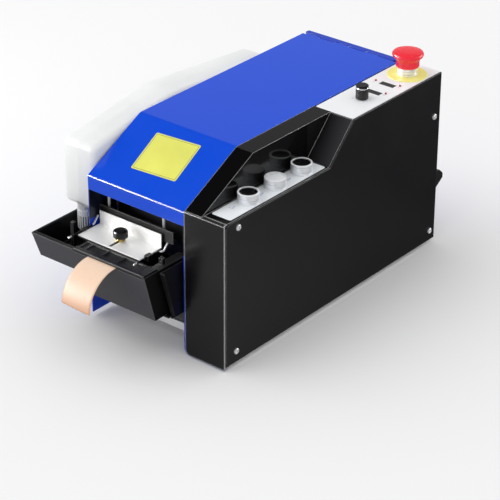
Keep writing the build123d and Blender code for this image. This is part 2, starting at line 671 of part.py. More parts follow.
def blade_carrier():
    """Bar that guides the blade on the two pins, with the plunger that pulls it down."""
    bar = box(-222, -98, 69.0, 79, 150, 162)
    for x in GUIDE_PIN_XS:
        bar -= rod_z(x, CUTTER_Y, 3.06, 149, 163)
    return bar + rod_z(SOLENOID_X, CUTTER_Y, 5.0, 161, 206)


def cutter_solenoid():
    body = box(SOLENOID_X - 16, SOLENOID_X + 16, 58, 86, 178, 218)
    return body - rod_z(SOLENOID_X, CUTTER_Y, 5.3, 177, 208)


# ---------------------------------------------------------------- tape roll and its cradle
def tape_roll():
    roll = rod_x(ROLL_Y, ROLL_Z, ROLL_R, TAPE_LEFT_X, TAPE_RIGHT_X)
    return roll - rod_x(ROLL_Y, ROLL_Z, CORE_BORE_R, TAPE_LEFT_X - 1, TAPE_RIGHT_X + 1)


def roll_hub():
    """Plastic hub that fills the roll's core and turns on the axle."""
    hub = rod_x(ROLL_Y, ROLL_Z, CORE_BORE_R - 0.05, TAPE_LEFT_X, TAPE_RIGHT_X)
    return hub - rod_x(ROLL_Y, ROLL_Z, AXLE_R + 0.05, TAPE_LEFT_X - 1, TAPE_RIGHT_X + 1)


def roll_axle():
    return rod_x(ROLL_Y, ROLL_Z, AXLE_R, -230, -72)


def roll_cradle():
    """Two uprights that carry the axle."""
    sides = []
    for x0 in (-226.0, -78.0):
        side = side_profile([(ROLL_Y - 40, BASE_TOP_Z), (ROLL_Y + 40, BASE_TOP_Z), (ROLL_Y + 16, ROLL_Z + 16),
                             (ROLL_Y - 16, ROLL_Z + 16)], x0, x0 + 3)
        sides.append(side - rod_x(ROLL_Y, ROLL_Z, AXLE_R, x0 - 1, x0 + 4))
    return together(sides)


def roll_guide(side):
    """Side cheek that keeps the roll in line; side -1 is left of the roll, 1 is right of it."""
    face = TAPE_LEFT_X - 1.5 if side < 0 else TAPE_RIGHT_X + 1.5
    cheek = rod_x(ROLL_Y, ROLL_Z, 62, min(face, face + 1.6 * side), max(face, face + 1.6 * side))
    cheek += rod_x(ROLL_Y, ROLL_Z, 11, min(face, face + 14 * side), max(face, face + 14 * side))
    for n in range(3):
        angle = math.radians(30 + 120 * n)
        cheek -= rod_x(ROLL_Y + 38 * math.cos(angle), ROLL_Z + 38 * math.sin(angle), 13, face - 20, face + 20)
    return cheek - rod_x(ROLL_Y, ROLL_Z, AXLE_R + 0.06, face - 20, face + 20)


def tape_web():
    """Tape from the front of the roll down under the guide bar, then flat between the feed rollers."""
    lower_roll = ROLL_R + 0.3
    lower_bar = GUIDE_BAR_R + 0.2 + TAPE_THICK
    across, down = ROLL_Y - GUIDE_BAR_Y, ROLL_Z - GUIDE_BAR_Z
    slope = math.atan2(down, across) + math.asin((lower_roll + lower_bar) / math.hypot(across, down))
    rise, run = math.sin(slope), math.cos(slope)
    start = (ROLL_Y - lower_roll * rise, ROLL_Z + lower_roll * run)
    leave = (GUIDE_BAR_Y + lower_bar * rise, GUIDE_BAR_Z - lower_bar * run)
    half = slope / 2
    middle = (GUIDE_BAR_Y + lower_bar * math.sin(half), GUIDE_BAR_Z - lower_bar * math.cos(half))
    under = [start, leave, middle, (GUIDE_BAR_Y, TAPE_Z), (WEB_END_Y, TAPE_Z)]
    normals = [(-rise, run), (-rise, run), (-math.sin(half), math.cos(half)), (0, 1), (0, 1)]
    over = [(y + TAPE_THICK * ny, z + TAPE_THICK * nz) for (y, z), (ny, nz) in zip(under, normals)]
    return side_profile(under + over[::-1], TAPE_LEFT_X, TAPE_RIGHT_X)


def tape_strip():
    """Cut length of tape that lies on the brushes and hangs out over the tank's front edge."""
    y0, z0 = 52.0, TAPE_Z
    radius = TAPE_ARC_R
    bend = math.radians(TAPE_ARC_DEG)
    edge = TANK_FRONT_Y
    centre_z = z0 - radius
    outer_r = radius + TAPE_THICK

    def on_arc(r, angle):
        return (edge - r * math.sin(angle), centre_z + r * math.cos(angle))

    x = TAPE_LEFT_X
    lines = [Line((x, y0, z0), (x, edge, z0)),
             ThreePointArc((x, edge, z0), (x, *on_arc(radius, bend / 2)), (x, *on_arc(radius, bend))),
             Line((x, *on_arc(radius, bend)), (x, *on_arc(outer_r, bend))),
             ThreePointArc((x, *on_arc(outer_r, bend)), (x, *on_arc(outer_r, bend / 2)), (x, edge, z0 + TAPE_THICK)),
             Line((x, edge, z0 + TAPE_THICK), (x, y0, z0 + TAPE_THICK)),
             Line((x, y0, z0 + TAPE_THICK), (x, y0, z0))]
    face = make_face(Wire(lines))
    return extrude(face, amount=TAPE_RIGHT_X - TAPE_LEFT_X, dir=(1, 0, 0))


# ---------------------------------------------------------------- water tank
def tank_block(x0, x1, y1, z0, z1, inset):
    """Tank volume with the leaning front, drawn from x0 to x1; inset moves the front wall inwards."""
    def front(z):
        return TANK_FRONT_Y + inset + (WING_TOP_Z - z) * TANK_LEAN
    return side_profile([(front(z0), z0), (front(z1), z1), (y1, z1), (y1, z0)], x0, x1)


def water_tank():
    step, right = TANK_STEP_X, TANK_RIGHT_X
    wing_rear = 41.0
    slot_left, slot_right = WING_RIGHT_X, -223.6
    slot_y = -4.0
    tank = tank_block(WING_LEFT_X, slot_left, wing_rear, WING_BOTTOM_Z, WING_TOP_Z, 0)
    tank += tank_block(slot_left, slot_right, slot_y, WING_BOTTOM_Z, WING_TOP_Z, 0)
    tank += tank_block(slot_right, step, TANK_REAR_Y, WING_BOTTOM_Z, WING_TOP_Z, 0)
    tank += tank_block(step, right, TANK_REAR_Y, TANK_BOTTOM_Z, WING_TOP_Z, 0)
    w = WALL
    top = WING_TOP_Z + 1
    tank -= tank_block(WING_LEFT_X + w, slot_left - w, wing_rear - w, WING_BOTTOM_Z + w, top, w)
    tank -= tank_block(slot_left - w - 1, slot_right + w, slot_y - w, WING_BOTTOM_Z + w, top, w)
    tank -= tank_block(slot_right + w, step + 1, TANK_REAR_Y - w, WING_BOTTOM_Z + w, top, w)
    tank -= tank_block(step + w, right - w, TANK_REAR_Y - w, TANK_BOTTOM_Z + w, top, w)
    # behind the front lip the inner walls stay low, so that the pressing plate clears them
    tank -= box(slot_right - 0.5, right - w - 0.1, -30, TANK_REAR_Y + 1, INNER_WALL_Z, top)
    tank -= box(slot_left + 1, slot_right + w + 0.1, -30, slot_y + 1, INNER_WALL_Z, top)
    # the lip is lower where the tape leaves
    tank -= box(-212, right - w, TANK_FRONT_Y - 1, -29, TANK_TOP_Z, top)
    taper = [(WING_LEFT_X - 1, WING_BOTTOM_Z - 1), (WING_LEFT_X - 1, WING_TOP_Z), (WING_LEFT_X, WING_TOP_Z),
             (WING_LEFT_X + WING_TAPER, WING_BOTTOM_Z - 1)]
    tank -= front_profile(taper, TANK_FRONT_Y - 5, wing_rear + 1)
    tank += front_profile([(WING_LEFT_X + 0.4, WING_TOP_Z - 2), (WING_LEFT_X + WING_TAPER + 0.1, WING_BOTTOM_Z + 0.5),
                           (WING_LEFT_X + WING_TAPER + 2.4, WING_BOTTOM_Z + 0.5), (WING_LEFT_X + 2.6, WING_TOP_Z - 2)],
                          -48, wing_rear - 0.5)
    tank += box(WING_LEFT_X, WING_LEFT_X + w, TANK_FRONT_Y + 4, wing_rear, WING_TOP_Z - 0.1, WING_TOP_Z)
    tank += box(WING_LEFT_X + 0.2, -214, TANK_FRONT_Y + 0.4, TANK_FRONT_Y + 6.5, WING_TOP_Z - 2.4, WING_TOP_Z)
    post = box(-251, -246, -22.5, -17.5, WING_BOTTOM_Z + w - 0.5, 150)
    return tank + post


def tank_top_frame():
    """Frame over the tape slot: front rim, deep pockets between ribs, and a right arm with a fork."""
    frame = box(FRAME_LEFT_X, FRAME_RIGHT_X, TANK_FRONT_Y + 1, -31, FRAME_LOW_Z, FRAME_TOP_Z)
    frame = chamfer(edges_near(frame, Axis.X, lambda c: c.Y < -58 and c.Z > FRAME_TOP_Z - 0.1), 0.6)
    cells = [-209.5, -199.0, -171.0, -143.0, -104.0]
    for left, right in zip(cells, cells[1:]):
        frame -= box(left + 1, right - 1, -52, -33.2, FRAME_LOW_Z + 0.8, FRAME_TOP_Z + 1)
    frame -= box(FRAME_LEFT_X - 1, -99, -52, -30, 137.6, FRAME_TOP_Z + 1)
    frame += box(-99, FRAME_RIGHT_X, -32, 24, FRAME_LOW_Z, 137.2)
    frame += box(-97, -91, -18, -12, 137, 146.5)
    frame -= box(-95, -93, -19, -11, 142, 147)
    return frame


def wetting_brushes():
    """Three brush rows on one holder that stands in the tank."""
    holder = box(-196.5, -123.5, -27, 10, 104, 108)
    for x in (-196.5, -126.0):
        holder += box(x, x + 2.5, -27, 10, TANK_BOTTOM_Z + WALL, 104)
    for y in (-24, -11.5, 1):
        holder += box(-193, -126, y, y + 6, 107.5, 134.0)
    return holder


# ---------------------------------------------------------------- tank support
def tank_cradle():
    """Shelf under the tank, with the right side bracket whose flanged front edge leans like the tank."""
    shelf = box(-223.8, -80, -20, 44, 62, TANK_BOTTOM_Z - 0.4) + box(-223.8, -80, 42, 44, BASE_TOP_Z, 62)
    side = side_profile([(-36, WING_TOP_Z), (-15, 66), (-15, 60), (46, 60), (46, 128), (20, WING_TOP_Z)], -80.2, -78)
    flange = side_profile([(-36, WING_TOP_Z), (-15, 66), (-12.8, 66), (-33.8, WING_TOP_Z)], -78.2, -72.6)
    return shelf + side + flange + box(-78.2, -66.5, 44, 46, 60, 128)


# ---------------------------------------------------------------- pressing plate


def plate_carrier():
    """Black carrier under the plate; it rides up and down on two upright pins."""
    low, top = 135.3, PLATE_Z - 0.1
    carrier = box(-230, -119, -28, 15.8, low, top)
    carrier += box(-121, -119, -28, 15.8, 124, low)
    for x in LIFT_PIN_XS:
        carrier += box(x - 4.5, x + 4.5, 15.8, LIFT_PIN_Y + 5, low, top)
        carrier += rod_z(x, LIFT_PIN_Y, 4.5, top, 146)
        carrier -= rod_z(x, LIFT_PIN_Y, LIFT_PIN_R + 0.06, low - 1, 147)
    carrier += box(-236, -229, -20, -10, low, top) + box(-236, -231.9, -20, -10, low, 143)
    carrier += box(-121.1, -114, -20, -10, low, 143)
    for x in ROD_XS:
        carrier -= rod_y(x, ROD_Z, ROD_R, -21, -9)
    return carrier - rod_z(THUMB_X, THUMB_Y, 2.06, low - 1, top + 1)


def plate_rods():
    """Side wires of the carrier: straight beside the plate, then cranked up at the rear."""
    wires = []
    for x, swing in zip(ROD_XS, (0.0, 8.0)):
        points = [(x, -44, ROD_Z), (x, -2, ROD_Z), (x + swing, 5, ROD_Z + 2), (x + swing, 13, ROD_Z + 11)]
        wire = bent_wire(points, 3, ROD_R)
        wires.append(wire + Pos(x, -44, ROD_Z) * Sphere(ROD_R + 0.35))
    return together(wires)


def pressing_plate():
    """Brushed angle plate with a slot for the thumb screw and an upright rear flange."""
    z0, z1 = PLATE_Z, PLATE_Z + 1.5
    plate = box(PLATE_LEFT_X, PLATE_RIGHT_X, PLATE_FRONT_Y, PLATE_REAR_Y, z0, z1)
    plate += box(PLATE_LEFT_X, PLATE_RIGHT_X, PLATE_REAR_Y - 1.5, PLATE_REAR_Y, z0, 159)
    plate = fillet(edges_near(plate, Axis.X, lambda c: c.Y > PLATE_REAR_Y - 0.1 and c.Z < z0 + 0.1), 1.4)
    slot = box(THUMB_X - 2.5, THUMB_X + 2.5, -23.5, 7, z0 - 1, z1 + 1)
    slot += rod_z(THUMB_X, -23.5, 2.5, z0 - 1, z1 + 1) + rod_z(THUMB_X, 7, 2.5, z0 - 1, z1 + 1)
    return plate - slot


def thumb_collar():
    """Brass collar on its stud, which runs down through the slot into the carrier."""
    z0 = PLATE_Z + 1.8
    return turned([(0, 135.3), (2.0, 135.3), (2.0, z0), (6.4, z0), (6.4, z0 + 1.4), (5.2, z0 + 1.8), (5.2, z0 + 4.4),
                   (2.0, z0 + 4.4), (2.0, z0 + 10), (0, z0 + 10)], THUMB_X, THUMB_Y)


def thumb_knob():
    z0 = PLATE_Z + 6.2
    knob = turned([(2.06, z0), (8.6, z0), (10.0, z0 + 1.4), (10.0, z0 + 8.6), (9.2, z0 + 10.2), (7.4, z0 + 11),
                   (0, z0 + 11), (0, z0 + 5.6), (2.06, z0 + 5.6)], THUMB_X, THUMB_Y)
    for n in range(30):
        angle = math.radians(12 * n)
        knob -= rod_z(THUMB_X + 10.3 * math.cos(angle), THUMB_Y + 10.3 * math.sin(angle), 0.55, z0 - 1, z0 + 12)
    return knob


def heater_block():
    """Black block behind the plate that warms the water, with a thin upright rim along its front."""
    block = box(-221.5, -134.5, 18.5, 36, 140, 150)
    block += box(-234.8, -104, 18.5, 21.5, 148, RIM_TOP_Z)
    return chamfer(edges_near(block, Axis.X, lambda c: c.Z > RIM_TOP_Z - 0.1), 0.5)


def front_cross_bar():
    """Bar across the bay above the plate, with a flange that holds the two lift pins."""
    bar = box(-223.9, PATH_RIGHT_X, 44, 46, 140, 186) + box(-223.9, PATH_RIGHT_X, 41, 46, 184, 186)
    bar += box(-233, PATH_RIGHT_X, 20, 41.5, 184, 186) + box(-221, -135, 36, 44.5, 150, 152)
    return bar


def lift_pins():
    """Two bright upright pins under the cross bar's flange, on which the carrier rides."""
    return together([rod_z(x, LIFT_PIN_Y, LIFT_PIN_R, 133, 184) for x in LIFT_PIN_XS])


# ---------------------------------------------------------------- bottle
def bottle_floor_z(y):
    """Height of the bottle's sloping underside."""
    return BOTTLE_LOW_Z + 27 * (y - BOTTLE_FRONT_Y) / 366


def water_bottle():
    """Flat bottle on the left side, highest a third of the way back, neck down at the front."""
    front, rear = BOTTLE_FRONT_Y, BOTTLE_REAR_Y
    outline = [(front, BOTTLE_LOW_Z), (front, 243), (178, 273.5), (rear - 7, 253.5), (rear, 240), (rear, 190),
               (rear - 15, bottle_floor_z(rear - 15))]
    bottle = side_profile(outline, BOTTLE_LEFT_X, BOTTLE_RIGHT_X)
    bottle = fillet(bottle.edges().filter_by(Axis.X), 5.5)
    bottle = fillet(bottle.edges().group_by(Axis.X)[0] + bottle.edges().group_by(Axis.X)[-1], 5)
    return bottle + rod_z(NECK_X, NECK_Y, 8.6, 139, 147) + rod_z(NECK_X, NECK_Y, 9.7, 146.4, 160)


def bottle_cap():
    cap = turned([(0, 116), (8.4, 116), (10.4, 118), (10.4, 146), (8.65, 146), (8.65, 138.7), (0, 138.7)],
                 NECK_X, NECK_Y)
    for n in range(18):
        angle = math.radians(20 * n)
        cap -= rod_z(NECK_X + 10.8 * math.cos(angle), NECK_Y + 10.8 * math.sin(angle), 1.0, 119, 145)
    return cap


BUILDERS = {
    "base_plate": base_plate,
    "rubber_feet": rubber_feet,
    "side_and_rear_panel": side_and_rear_panel,
    "left_frame_plate": left_frame_plate,
    "inner_wall": inner_wall,
    "lid_hinge_pin": lid_hinge_pin,
    "lid": lid,
    "control_front_cover": control_front_cover,
    "control_deck": control_deck,
    "right_side_panel": right_side_panel,
    "side_screws": side_screws,
    "mains_entry_hood": mains_entry_hood,
    "control_panel_plate": control_panel_plate,
    "display_windows": display_windows,
    "button_label_plate": button_label_plate,
    "button_bezels": button_bezels,
    "front_button_cap": lambda: button_cap(BUTTON_YS["front"], 0.9, True),
    "middle_button_cap": lambda: button_cap(BUTTON_YS["middle"], 0.1, False),
    "rear_button_cap": lambda: button_cap(BUTTON_YS["rear"], 0.9, True),
    "contact_blocks": contact_blocks,
    "estop_disc": estop_disc,
    "estop_collar": estop_collar,
    "estop_plunger": estop_plunger,
    "estop_head": estop_head,
    "length_knob": length_knob,
    "control_board": control_board,
    "power_supply": power_supply,
    "feed_shaft": feed_shaft,
    "feed_roller": feed_roller,
    "motor_pinion": motor_pinion,
    "feed_motor": feed_motor,
    "pinch_roller": pinch_roller,
    "roller_bearings": roller_bearings,
    "tape_guide": tape_guide,
    "cutter_frame": cutter_frame,
    "moving_blade": moving_blade,
    "blade_carrier": blade_carrier,
    "cutter_solenoid": cutter_solenoid,
    "tape_roll": tape_roll,
    "roll_hub": roll_hub,
    "roll_axle": roll_axle,
    "roll_cradle": roll_cradle,
    "roll_guide_left": lambda: roll_guide(-1),
    "roll_guide_right": lambda: roll_guide(1),
    "tape_web": tape_web,
    "tape_strip": tape_strip,
    "water_tank": water_tank,
    "tank_top_frame": tank_top_frame,
    "wetting_brushes": wetting_brushes,
    "tank_cradle": tank_cradle,
    "plate_carrier": plate_carrier,
    "plate_rods": plate_rods,
    "pressing_plate": pressing_plate,
    "thumb_collar": thumb_collar,
    "thumb_knob": thumb_knob,
    "heater_block": heater_block,
    "front_cross_bar": front_cross_bar,
    "lift_pins": lift_pins,
    "water_bottle": water_bottle,
    "bottle_cap": bottle_cap,
}

for name, build in BUILDERS.items():
    save(name, build())
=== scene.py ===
"""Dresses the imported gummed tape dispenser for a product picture.

Places are in millimetres in the machine's own coordinates, as in the part: x runs leftwards as
negative from the outer face of the right side panel, y backwards from the front plane, z up from
the table. Sizes and depths inside the materials are in metres, as the frame is.
"""
import json
import math

import bmesh
import bpy
from mathutils import Matrix, Quaternion, Vector

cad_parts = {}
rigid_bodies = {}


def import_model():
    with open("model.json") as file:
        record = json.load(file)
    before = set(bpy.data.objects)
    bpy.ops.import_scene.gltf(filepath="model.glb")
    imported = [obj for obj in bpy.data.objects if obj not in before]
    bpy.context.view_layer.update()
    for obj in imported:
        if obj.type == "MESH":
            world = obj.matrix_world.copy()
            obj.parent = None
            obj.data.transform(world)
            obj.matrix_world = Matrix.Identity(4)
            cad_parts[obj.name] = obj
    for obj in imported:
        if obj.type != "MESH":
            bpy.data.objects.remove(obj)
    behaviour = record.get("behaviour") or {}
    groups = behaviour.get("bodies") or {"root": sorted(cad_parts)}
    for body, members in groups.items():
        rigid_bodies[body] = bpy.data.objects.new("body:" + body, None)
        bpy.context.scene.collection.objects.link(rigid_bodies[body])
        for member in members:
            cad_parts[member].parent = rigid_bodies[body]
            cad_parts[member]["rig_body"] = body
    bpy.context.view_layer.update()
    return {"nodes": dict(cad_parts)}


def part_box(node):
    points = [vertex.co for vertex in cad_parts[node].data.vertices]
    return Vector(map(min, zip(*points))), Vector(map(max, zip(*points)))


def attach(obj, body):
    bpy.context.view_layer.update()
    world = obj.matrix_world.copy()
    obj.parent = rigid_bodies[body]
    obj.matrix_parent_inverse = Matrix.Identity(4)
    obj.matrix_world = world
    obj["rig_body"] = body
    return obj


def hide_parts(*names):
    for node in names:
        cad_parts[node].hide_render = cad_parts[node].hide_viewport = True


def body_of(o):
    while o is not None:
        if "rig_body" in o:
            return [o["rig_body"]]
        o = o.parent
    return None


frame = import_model()
NODES = frame["nodes"]

MM = 0.001
RIGHT_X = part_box("right_side_panel")[1].x
FRONT_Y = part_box("control_front_cover")[0].y

# the camera, in degrees and millimetres; how far it sees is in metres
CAMERA_AZIMUTH = 39.118
CAMERA_ELEVATION = 28.513
CAMERA_ROLL = 0.251
CAMERA_DISTANCE = 3063.3
CAMERA_TARGET = (-153.43, 240.0, 30.74)
CAMERA_LENS = 154.52
CAMERA_SENSOR, CAMERA_CLIP_END = 36.0, 50.0

# the stage, in metres in the frame
FLOOR_SIZE = 30.0
FLOOR_FADE_Y = (-0.10, 0.40)
SKY_LIGHT = (0.885, 0.885, 0.885)
KEY_STRENGTH, KEY_SPREAD_DEG = 0.6, 50
KEY_DIRECTION = (0.50, 0.404, -0.766)
MACHINE_MIDDLE = (0.0, 0.0, 0.12)

# what glossy surfaces see: the floor's colour before and behind the machine, and the sky's
# brightness by the sine of its height
FLOOR_IN_GLOSS = ((0.37, 0.37, 0.375), (0.07, 0.07, 0.075))
SKY_IN_GLOSS = [(0.0, 0.85), (0.36, 0.46), (0.54, 0.12), (0.68, 0.01)]

# places taken from the part, and a height over all of it
OVER_ALL_Z = 400.0
PANEL_TOP_Z = 271.2
KNOB_AXIS = (-33.0, 334.0)
CAP_AXIS = (-269.5, 25.2)
# how far out and how high the cap is painted dark in its slots, as painted shade
CAP_SLOT_REACH, CAP_SLOT_TOP_Z = 10.06, 137.0
TANK_FRONT_Y, TANK_TOP_Z, TANK_LEAN = -60.0, 134.0, 20.0 / 72.0
# how deep the grey of the tank's front goes; behind it the tank is near-black, as painted shade
TANK_FRONT_GREY_DEPTH = 1.6
# where the left sheet's inside is painted near-black as painted shade: inward of this x, above this
# height, before this depth
SHADED_INSIDE_X, SHADED_INSIDE_LOW_Z, SHADED_INSIDE_REAR_Y = -236.6, 150.0, 140.0
# the ramp's foot and top, and the span across it over which its painted reflection grows grey
RAMP_FOOT_Y, RAMP_TOP_Z, RAMP_REFLECTION_X = 222.0, 269.4, (-46.0, -2.0)
WIRE_SLEEVE_Y = (-40.0, 1.0)

# the tape strip: flat from its start to the tank's front edge, then round an arc
TAPE_X, TAPE_START_Y, TAPE_Z = (-186.0, -136.0), 52.0, 134.3
TAPE_THICK, TAPE_ARC_R, TAPE_ARC_DEG = 0.35, 52.0, 84.0
TAPE_BOW, TAPE_TWIST = 0.9, 0.020
# heights over which the tape's colour goes from painted shade below to painted light above
TAPE_SHADE_Z = (85.0, 138.0)
TAPE_FLAT_ROWS, TAPE_ARC_ROWS, TAPE_COLUMNS = 14, 40, 16

# the bottle's corners in side view, as y, z and radius: y runs from the bottle's front end, from
# the machine's front at the peak, and from the bottle's rear end
BOTTLE_FRONT = [(0.0, 153.0, 7.0), (0.0, 249.0, 11.0)]
BOTTLE_PEAK = (178.0, 273.2, 40.0)
BOTTLE_REAR = [(-7.0, 253.5, 9.0), (0.0, 240.0, 9.0), (0.0, 190.0, 9.0), (-15.0, 180.6, 9.0)]

# the rounding of the bottle's sides and corners, the ridge round its middle, and its neck
BOTTLE_SIDE_ROUND, BOTTLE_SIDE_STEPS = 8.0, 8
BOTTLE_LEAST_ROUND, BOTTLE_CORNER_STEPS, BOTTLE_SHARP_DEG = 0.4, 8, 50
PARTING_LINE = [(-0.9, 0.0), (-0.3, -0.22), (0.3, -0.22), (0.9, 0.0)]
NECK_PROFILE = [(8.5, 139.2), (8.5, 146.2), (9.0, 146.6), (9.7, 147.2), (9.7, 158.0)]

# the blank label on the lid's slope
SLOPE_LABEL_PLACE, SLOPE_LABEL_TURN = (-151.3, 60.5), 3.1
SLOPE_LABEL_SIZE, SLOPE_LABEL_ROUND = (75.0, 65.0), 2.5
SLOPE_LABEL_THICK, SLOPE_LABEL_LIFT = 0.18, 0.01
SLOPE_LINE_INSETS, SLOPE_LINE_THICK = (2.0, 2.45), 0.04

# the ring in the length knob's groove, the scale round the knob, and the panel's small lamps
KNOB_RING = [(8.45, 14.62), (8.8, 14.66), (8.88, 14.8), (8.88, 16.2), (8.8, 16.34), (8.45, 16.38)]
KNOB_RING_STEPS = 96
DIAL_STROKES, DIAL_LONG_EVERY, DIAL_START_DEG, DIAL_STEP_DEG = 11, 5, -45, 27
DIAL_LOW_R, DIAL_LONG, DIAL_SHORT, DIAL_WIDTH = 11.4, 2.8, 1.9, 0.45
BESIDE_KNOB = 14
LAMPS = [(-16.5, 367.0), (-16.5, 400.5), (-54.0, 395.0)]
LAMP_PROFILE = [(1.5, -1.0), (1.5, 0.1), (1.35, 0.5), (0.9, 0.8), (0.35, 0.9)]
LAMP_STEPS, LAMP_MARK_BEFORE, LAMP_MARK_SIZE = 24, 5, (3.4, 0.7)

# the print beside the push-buttons
BUTTON_FIGURES = [(-26.3, 49.5), (-22.0, 102.3), (-21.5, 159.0)]
FIGURE_SIZE, FIGURE_THICK, FIGURE_LIFT = 7.5, 0.02, 0.03
FIGURE_LINE_BELOW, FIGURE_LINE_SIZE = -4.2, (9.0, 0.5)
PRINT_THICK = 0.05

# grain and rounded edges shared by the materials, in metres
PAINT_CLOUDS, PAINT_PATCHES, PAINT_EDGE = 0.16, 0.05, 0.0007
PEEL_SIZE, PEEL_DEPTH = 0.004, 0.000006
PLASTIC_CLOUDS, PLASTIC_PATCHES, PLASTIC_GRAIN = 0.05, 0.012, 0.0007
METAL_EDGE = 0.0003

# the values that a noise mostly takes
NOISE_RANGE = (0.3, 0.7)

# how far the paler edges, partly wear and partly a painted highlight, reach past an edge's
# rounding, and the cosines of the turn where they start and are full
EDGE_WEAR_AND_HIGHLIGHT_REACH, EDGE_WEAR_AND_HIGHLIGHT_TURN = 1.4, (0.975, 0.88)
BEVEL_SAMPLES = 6

# the bezels' plating: how far up their flat tops face, and how metallic tops and sides look; the
# tops are made less metallic and so brighter, as painted light
BEZEL_TOP_FACING, BEZEL_METALLIC = 0.7, (0.08, 0.50)


def at(x=0.0, y=0.0, z=0.0):
    """A place on the machine, in metres in the frame."""
    return Vector((RIGHT_X + x * MM, FRONT_Y + y * MM, z * MM))


# ---------------------------------------------------------------- materials
def feed(tree, socket, value):
    """Gives an input a link from another node's output, a colour or a number."""
    if isinstance(value, bpy.types.NodeSocket):
        tree.links.new(value, socket)
    elif socket.type == "RGBA":
        socket.default_value = (*value, 1.0)
    else:
        socket.default_value = value


def mix_colours(tree, factor, low, high, blend="MIX"):
    """Colour socket between low and high, each a colour or a socket."""
    mix = tree.nodes.new("ShaderNodeMix")
    mix.data_type = "RGBA"
    mix.blend_type = blend
    feed(tree, mix.inputs["Factor"], factor)
    for socket, value in zip([s for s in mix.inputs if s.type == "RGBA"], (low, high)):
        feed(tree, socket, value)
    return next(s for s in mix.outputs if s.type == "RGBA")


class Paint:
    """One material's node tree, with short calls for the nodes used here."""

    def __init__(self, name, colour, roughness, metallic=0.0):
        self.material = bpy.data.materials.new(name)
        self.material.use_nodes = True
        self.material.diffuse_color = (*colour, 1.0)
        self.tree = self.material.node_tree
        self.shader = self.tree.nodes["Principled BSDF"]
        self.set(base_color=colour, metallic=metallic, roughness=roughness)
        self.colour = colour
        self.roughness = roughness
        self.place = self.node("ShaderNodeTexCoord").outputs["Object"]

    def node(self, kind, inputs=None, **properties):
        """New node with its properties, and with its inputs by their names."""
        made = self.tree.nodes.new(kind)
        for key, value in properties.items():
            setattr(made, key, value)
        for name, value in (inputs or {}).items():
            feed(self.tree, made.inputs[name], value)
        return made

    def set(self, **values):
        """Values or links on the shader's own sockets."""
        for key, value in values.items():
            words = key.replace("_", " ").title().replace("Ior", "IOR")
            feed(self.tree, self.shader.inputs[words], value)

    def stretched(self, scale):
        """Object coordinates stretched by a factor along each axis."""
        mapping = self.node("ShaderNodeMapping", {"Vector": self.place, "Scale": scale})
        return mapping.outputs["Vector"]

    def noise(self, size, detail=3.0, scale=None):
        """Noise whose blobs are about size metres across."""
        place = self.stretched(scale) if scale else self.place
        noise = self.node("ShaderNodeTexNoise",
                          {"Vector": place, "Scale": 1.0 / size, "Detail": detail})
        return noise.outputs["Fac"]

    def remap(self, value, before, after=(0.0, 1.0)):
        """The value carried from one range to another, and held at its ends."""
        change = self.node("ShaderNodeMapRange", {
            "Value": value, "From Min": before[0], "From Max": before[1],
            "To Min": after[0], "To Max": after[1]})
        return change.outputs["Result"]

    def mix(self, factor, low, high, blend="MIX"):
        """Colour between low and high, each a colour or a socket."""
        return mix_colours(self.tree, factor, low, high, blend)

    def math(self, operation, *values):
        """Number worked out from numbers and sockets."""
        made = self.node("ShaderNodeMath", operation=operation)
        for socket, value in zip(made.inputs, values):
            feed(self.tree, socket, value)
        return made.outputs["Value"]

    def above(self, value, limit):
        """One where the value is over the limit."""
        return self.math("GREATER_THAN", value, limit)

    def below(self, value, limit):
        """One where the value is under the limit."""
        return self.math("LESS_THAN", value, limit)

    def axes(self):
        """Object coordinates as three numbers."""
        split = self.node("ShaderNodeSeparateXYZ", {"Vector": self.place})
        return [split.outputs[axis] for axis in "XYZ"]

    def mottle(self, value, darker, lighter):
        """Colour that wanders between darker and lighter times the base colour."""
        ends = [[min(1.0, part * factor) for part in self.colour] for factor in (darker, lighter)]
        output = self.mix(self.remap(value, NOISE_RANGE), *ends)
        self.set(base_color=output)
        return output

    def recolour(self, factor, colour):
        """The base colour so far, turning to the given colour where the factor is one."""
        so_far = self.shader.inputs["Base Color"].links[0].from_socket
        self.set(base_color=self.mix(factor, so_far, colour))

    def worn_edges(self, colour, radius):
        """Edges painted paler where rounding the corner turns the surface: partly rubbed wear,
        partly a painted highlight.
        """
        bevel = self.node("ShaderNodeBevel", {"Radius": radius * EDGE_WEAR_AND_HIGHLIGHT_REACH},
                          samples=BEVEL_SAMPLES)
        plain = self.node("ShaderNodeNewGeometry")
        turn = self.node("ShaderNodeVectorMath", operation="DOT_PRODUCT")
        feed(self.tree, turn.inputs[0], bevel.outputs["Normal"])
        feed(self.tree, turn.inputs[1], plain.outputs["Normal"])
        self.recolour(self.remap(turn.outputs["Value"], EDGE_WEAR_AND_HIGHLIGHT_TURN), colour)

    def rough(self, value, spread):
        """Roughness that wanders by spread either way."""
        ends = (self.roughness - spread, self.roughness + spread)
        self.set(roughness=self.remap(value, NOISE_RANGE, ends))

    def relief(self, heights, edge=0.0004):
        """Bumps of given (value, depth in metres), over edges rounded by the given radius."""
        normal = None
        if edge:
            bevel = self.node("ShaderNodeBevel", {"Radius": edge}, samples=BEVEL_SAMPLES)
            normal = bevel.outputs["Normal"]
        for value, depth in heights:
            inputs = {"Height": value, "Distance": depth, "Strength": 1.0}
            if normal:
                inputs["Normal"] = normal
            normal = self.node("ShaderNodeBump", inputs).outputs["Normal"]
        self.set(normal=normal)


def sprayed(name, colour, roughness, gloss=0.5):
    """Sprayed paint, so far without its relief: very slightly uneven colour and gloss."""
    paint = Paint(name, colour, roughness)
    paint.set(specular_ior_level=gloss)
    paint.mottle(paint.noise(PAINT_CLOUDS), 0.985, 1.015)
    paint.rough(paint.noise(PAINT_PATCHES), 0.02)
    return paint


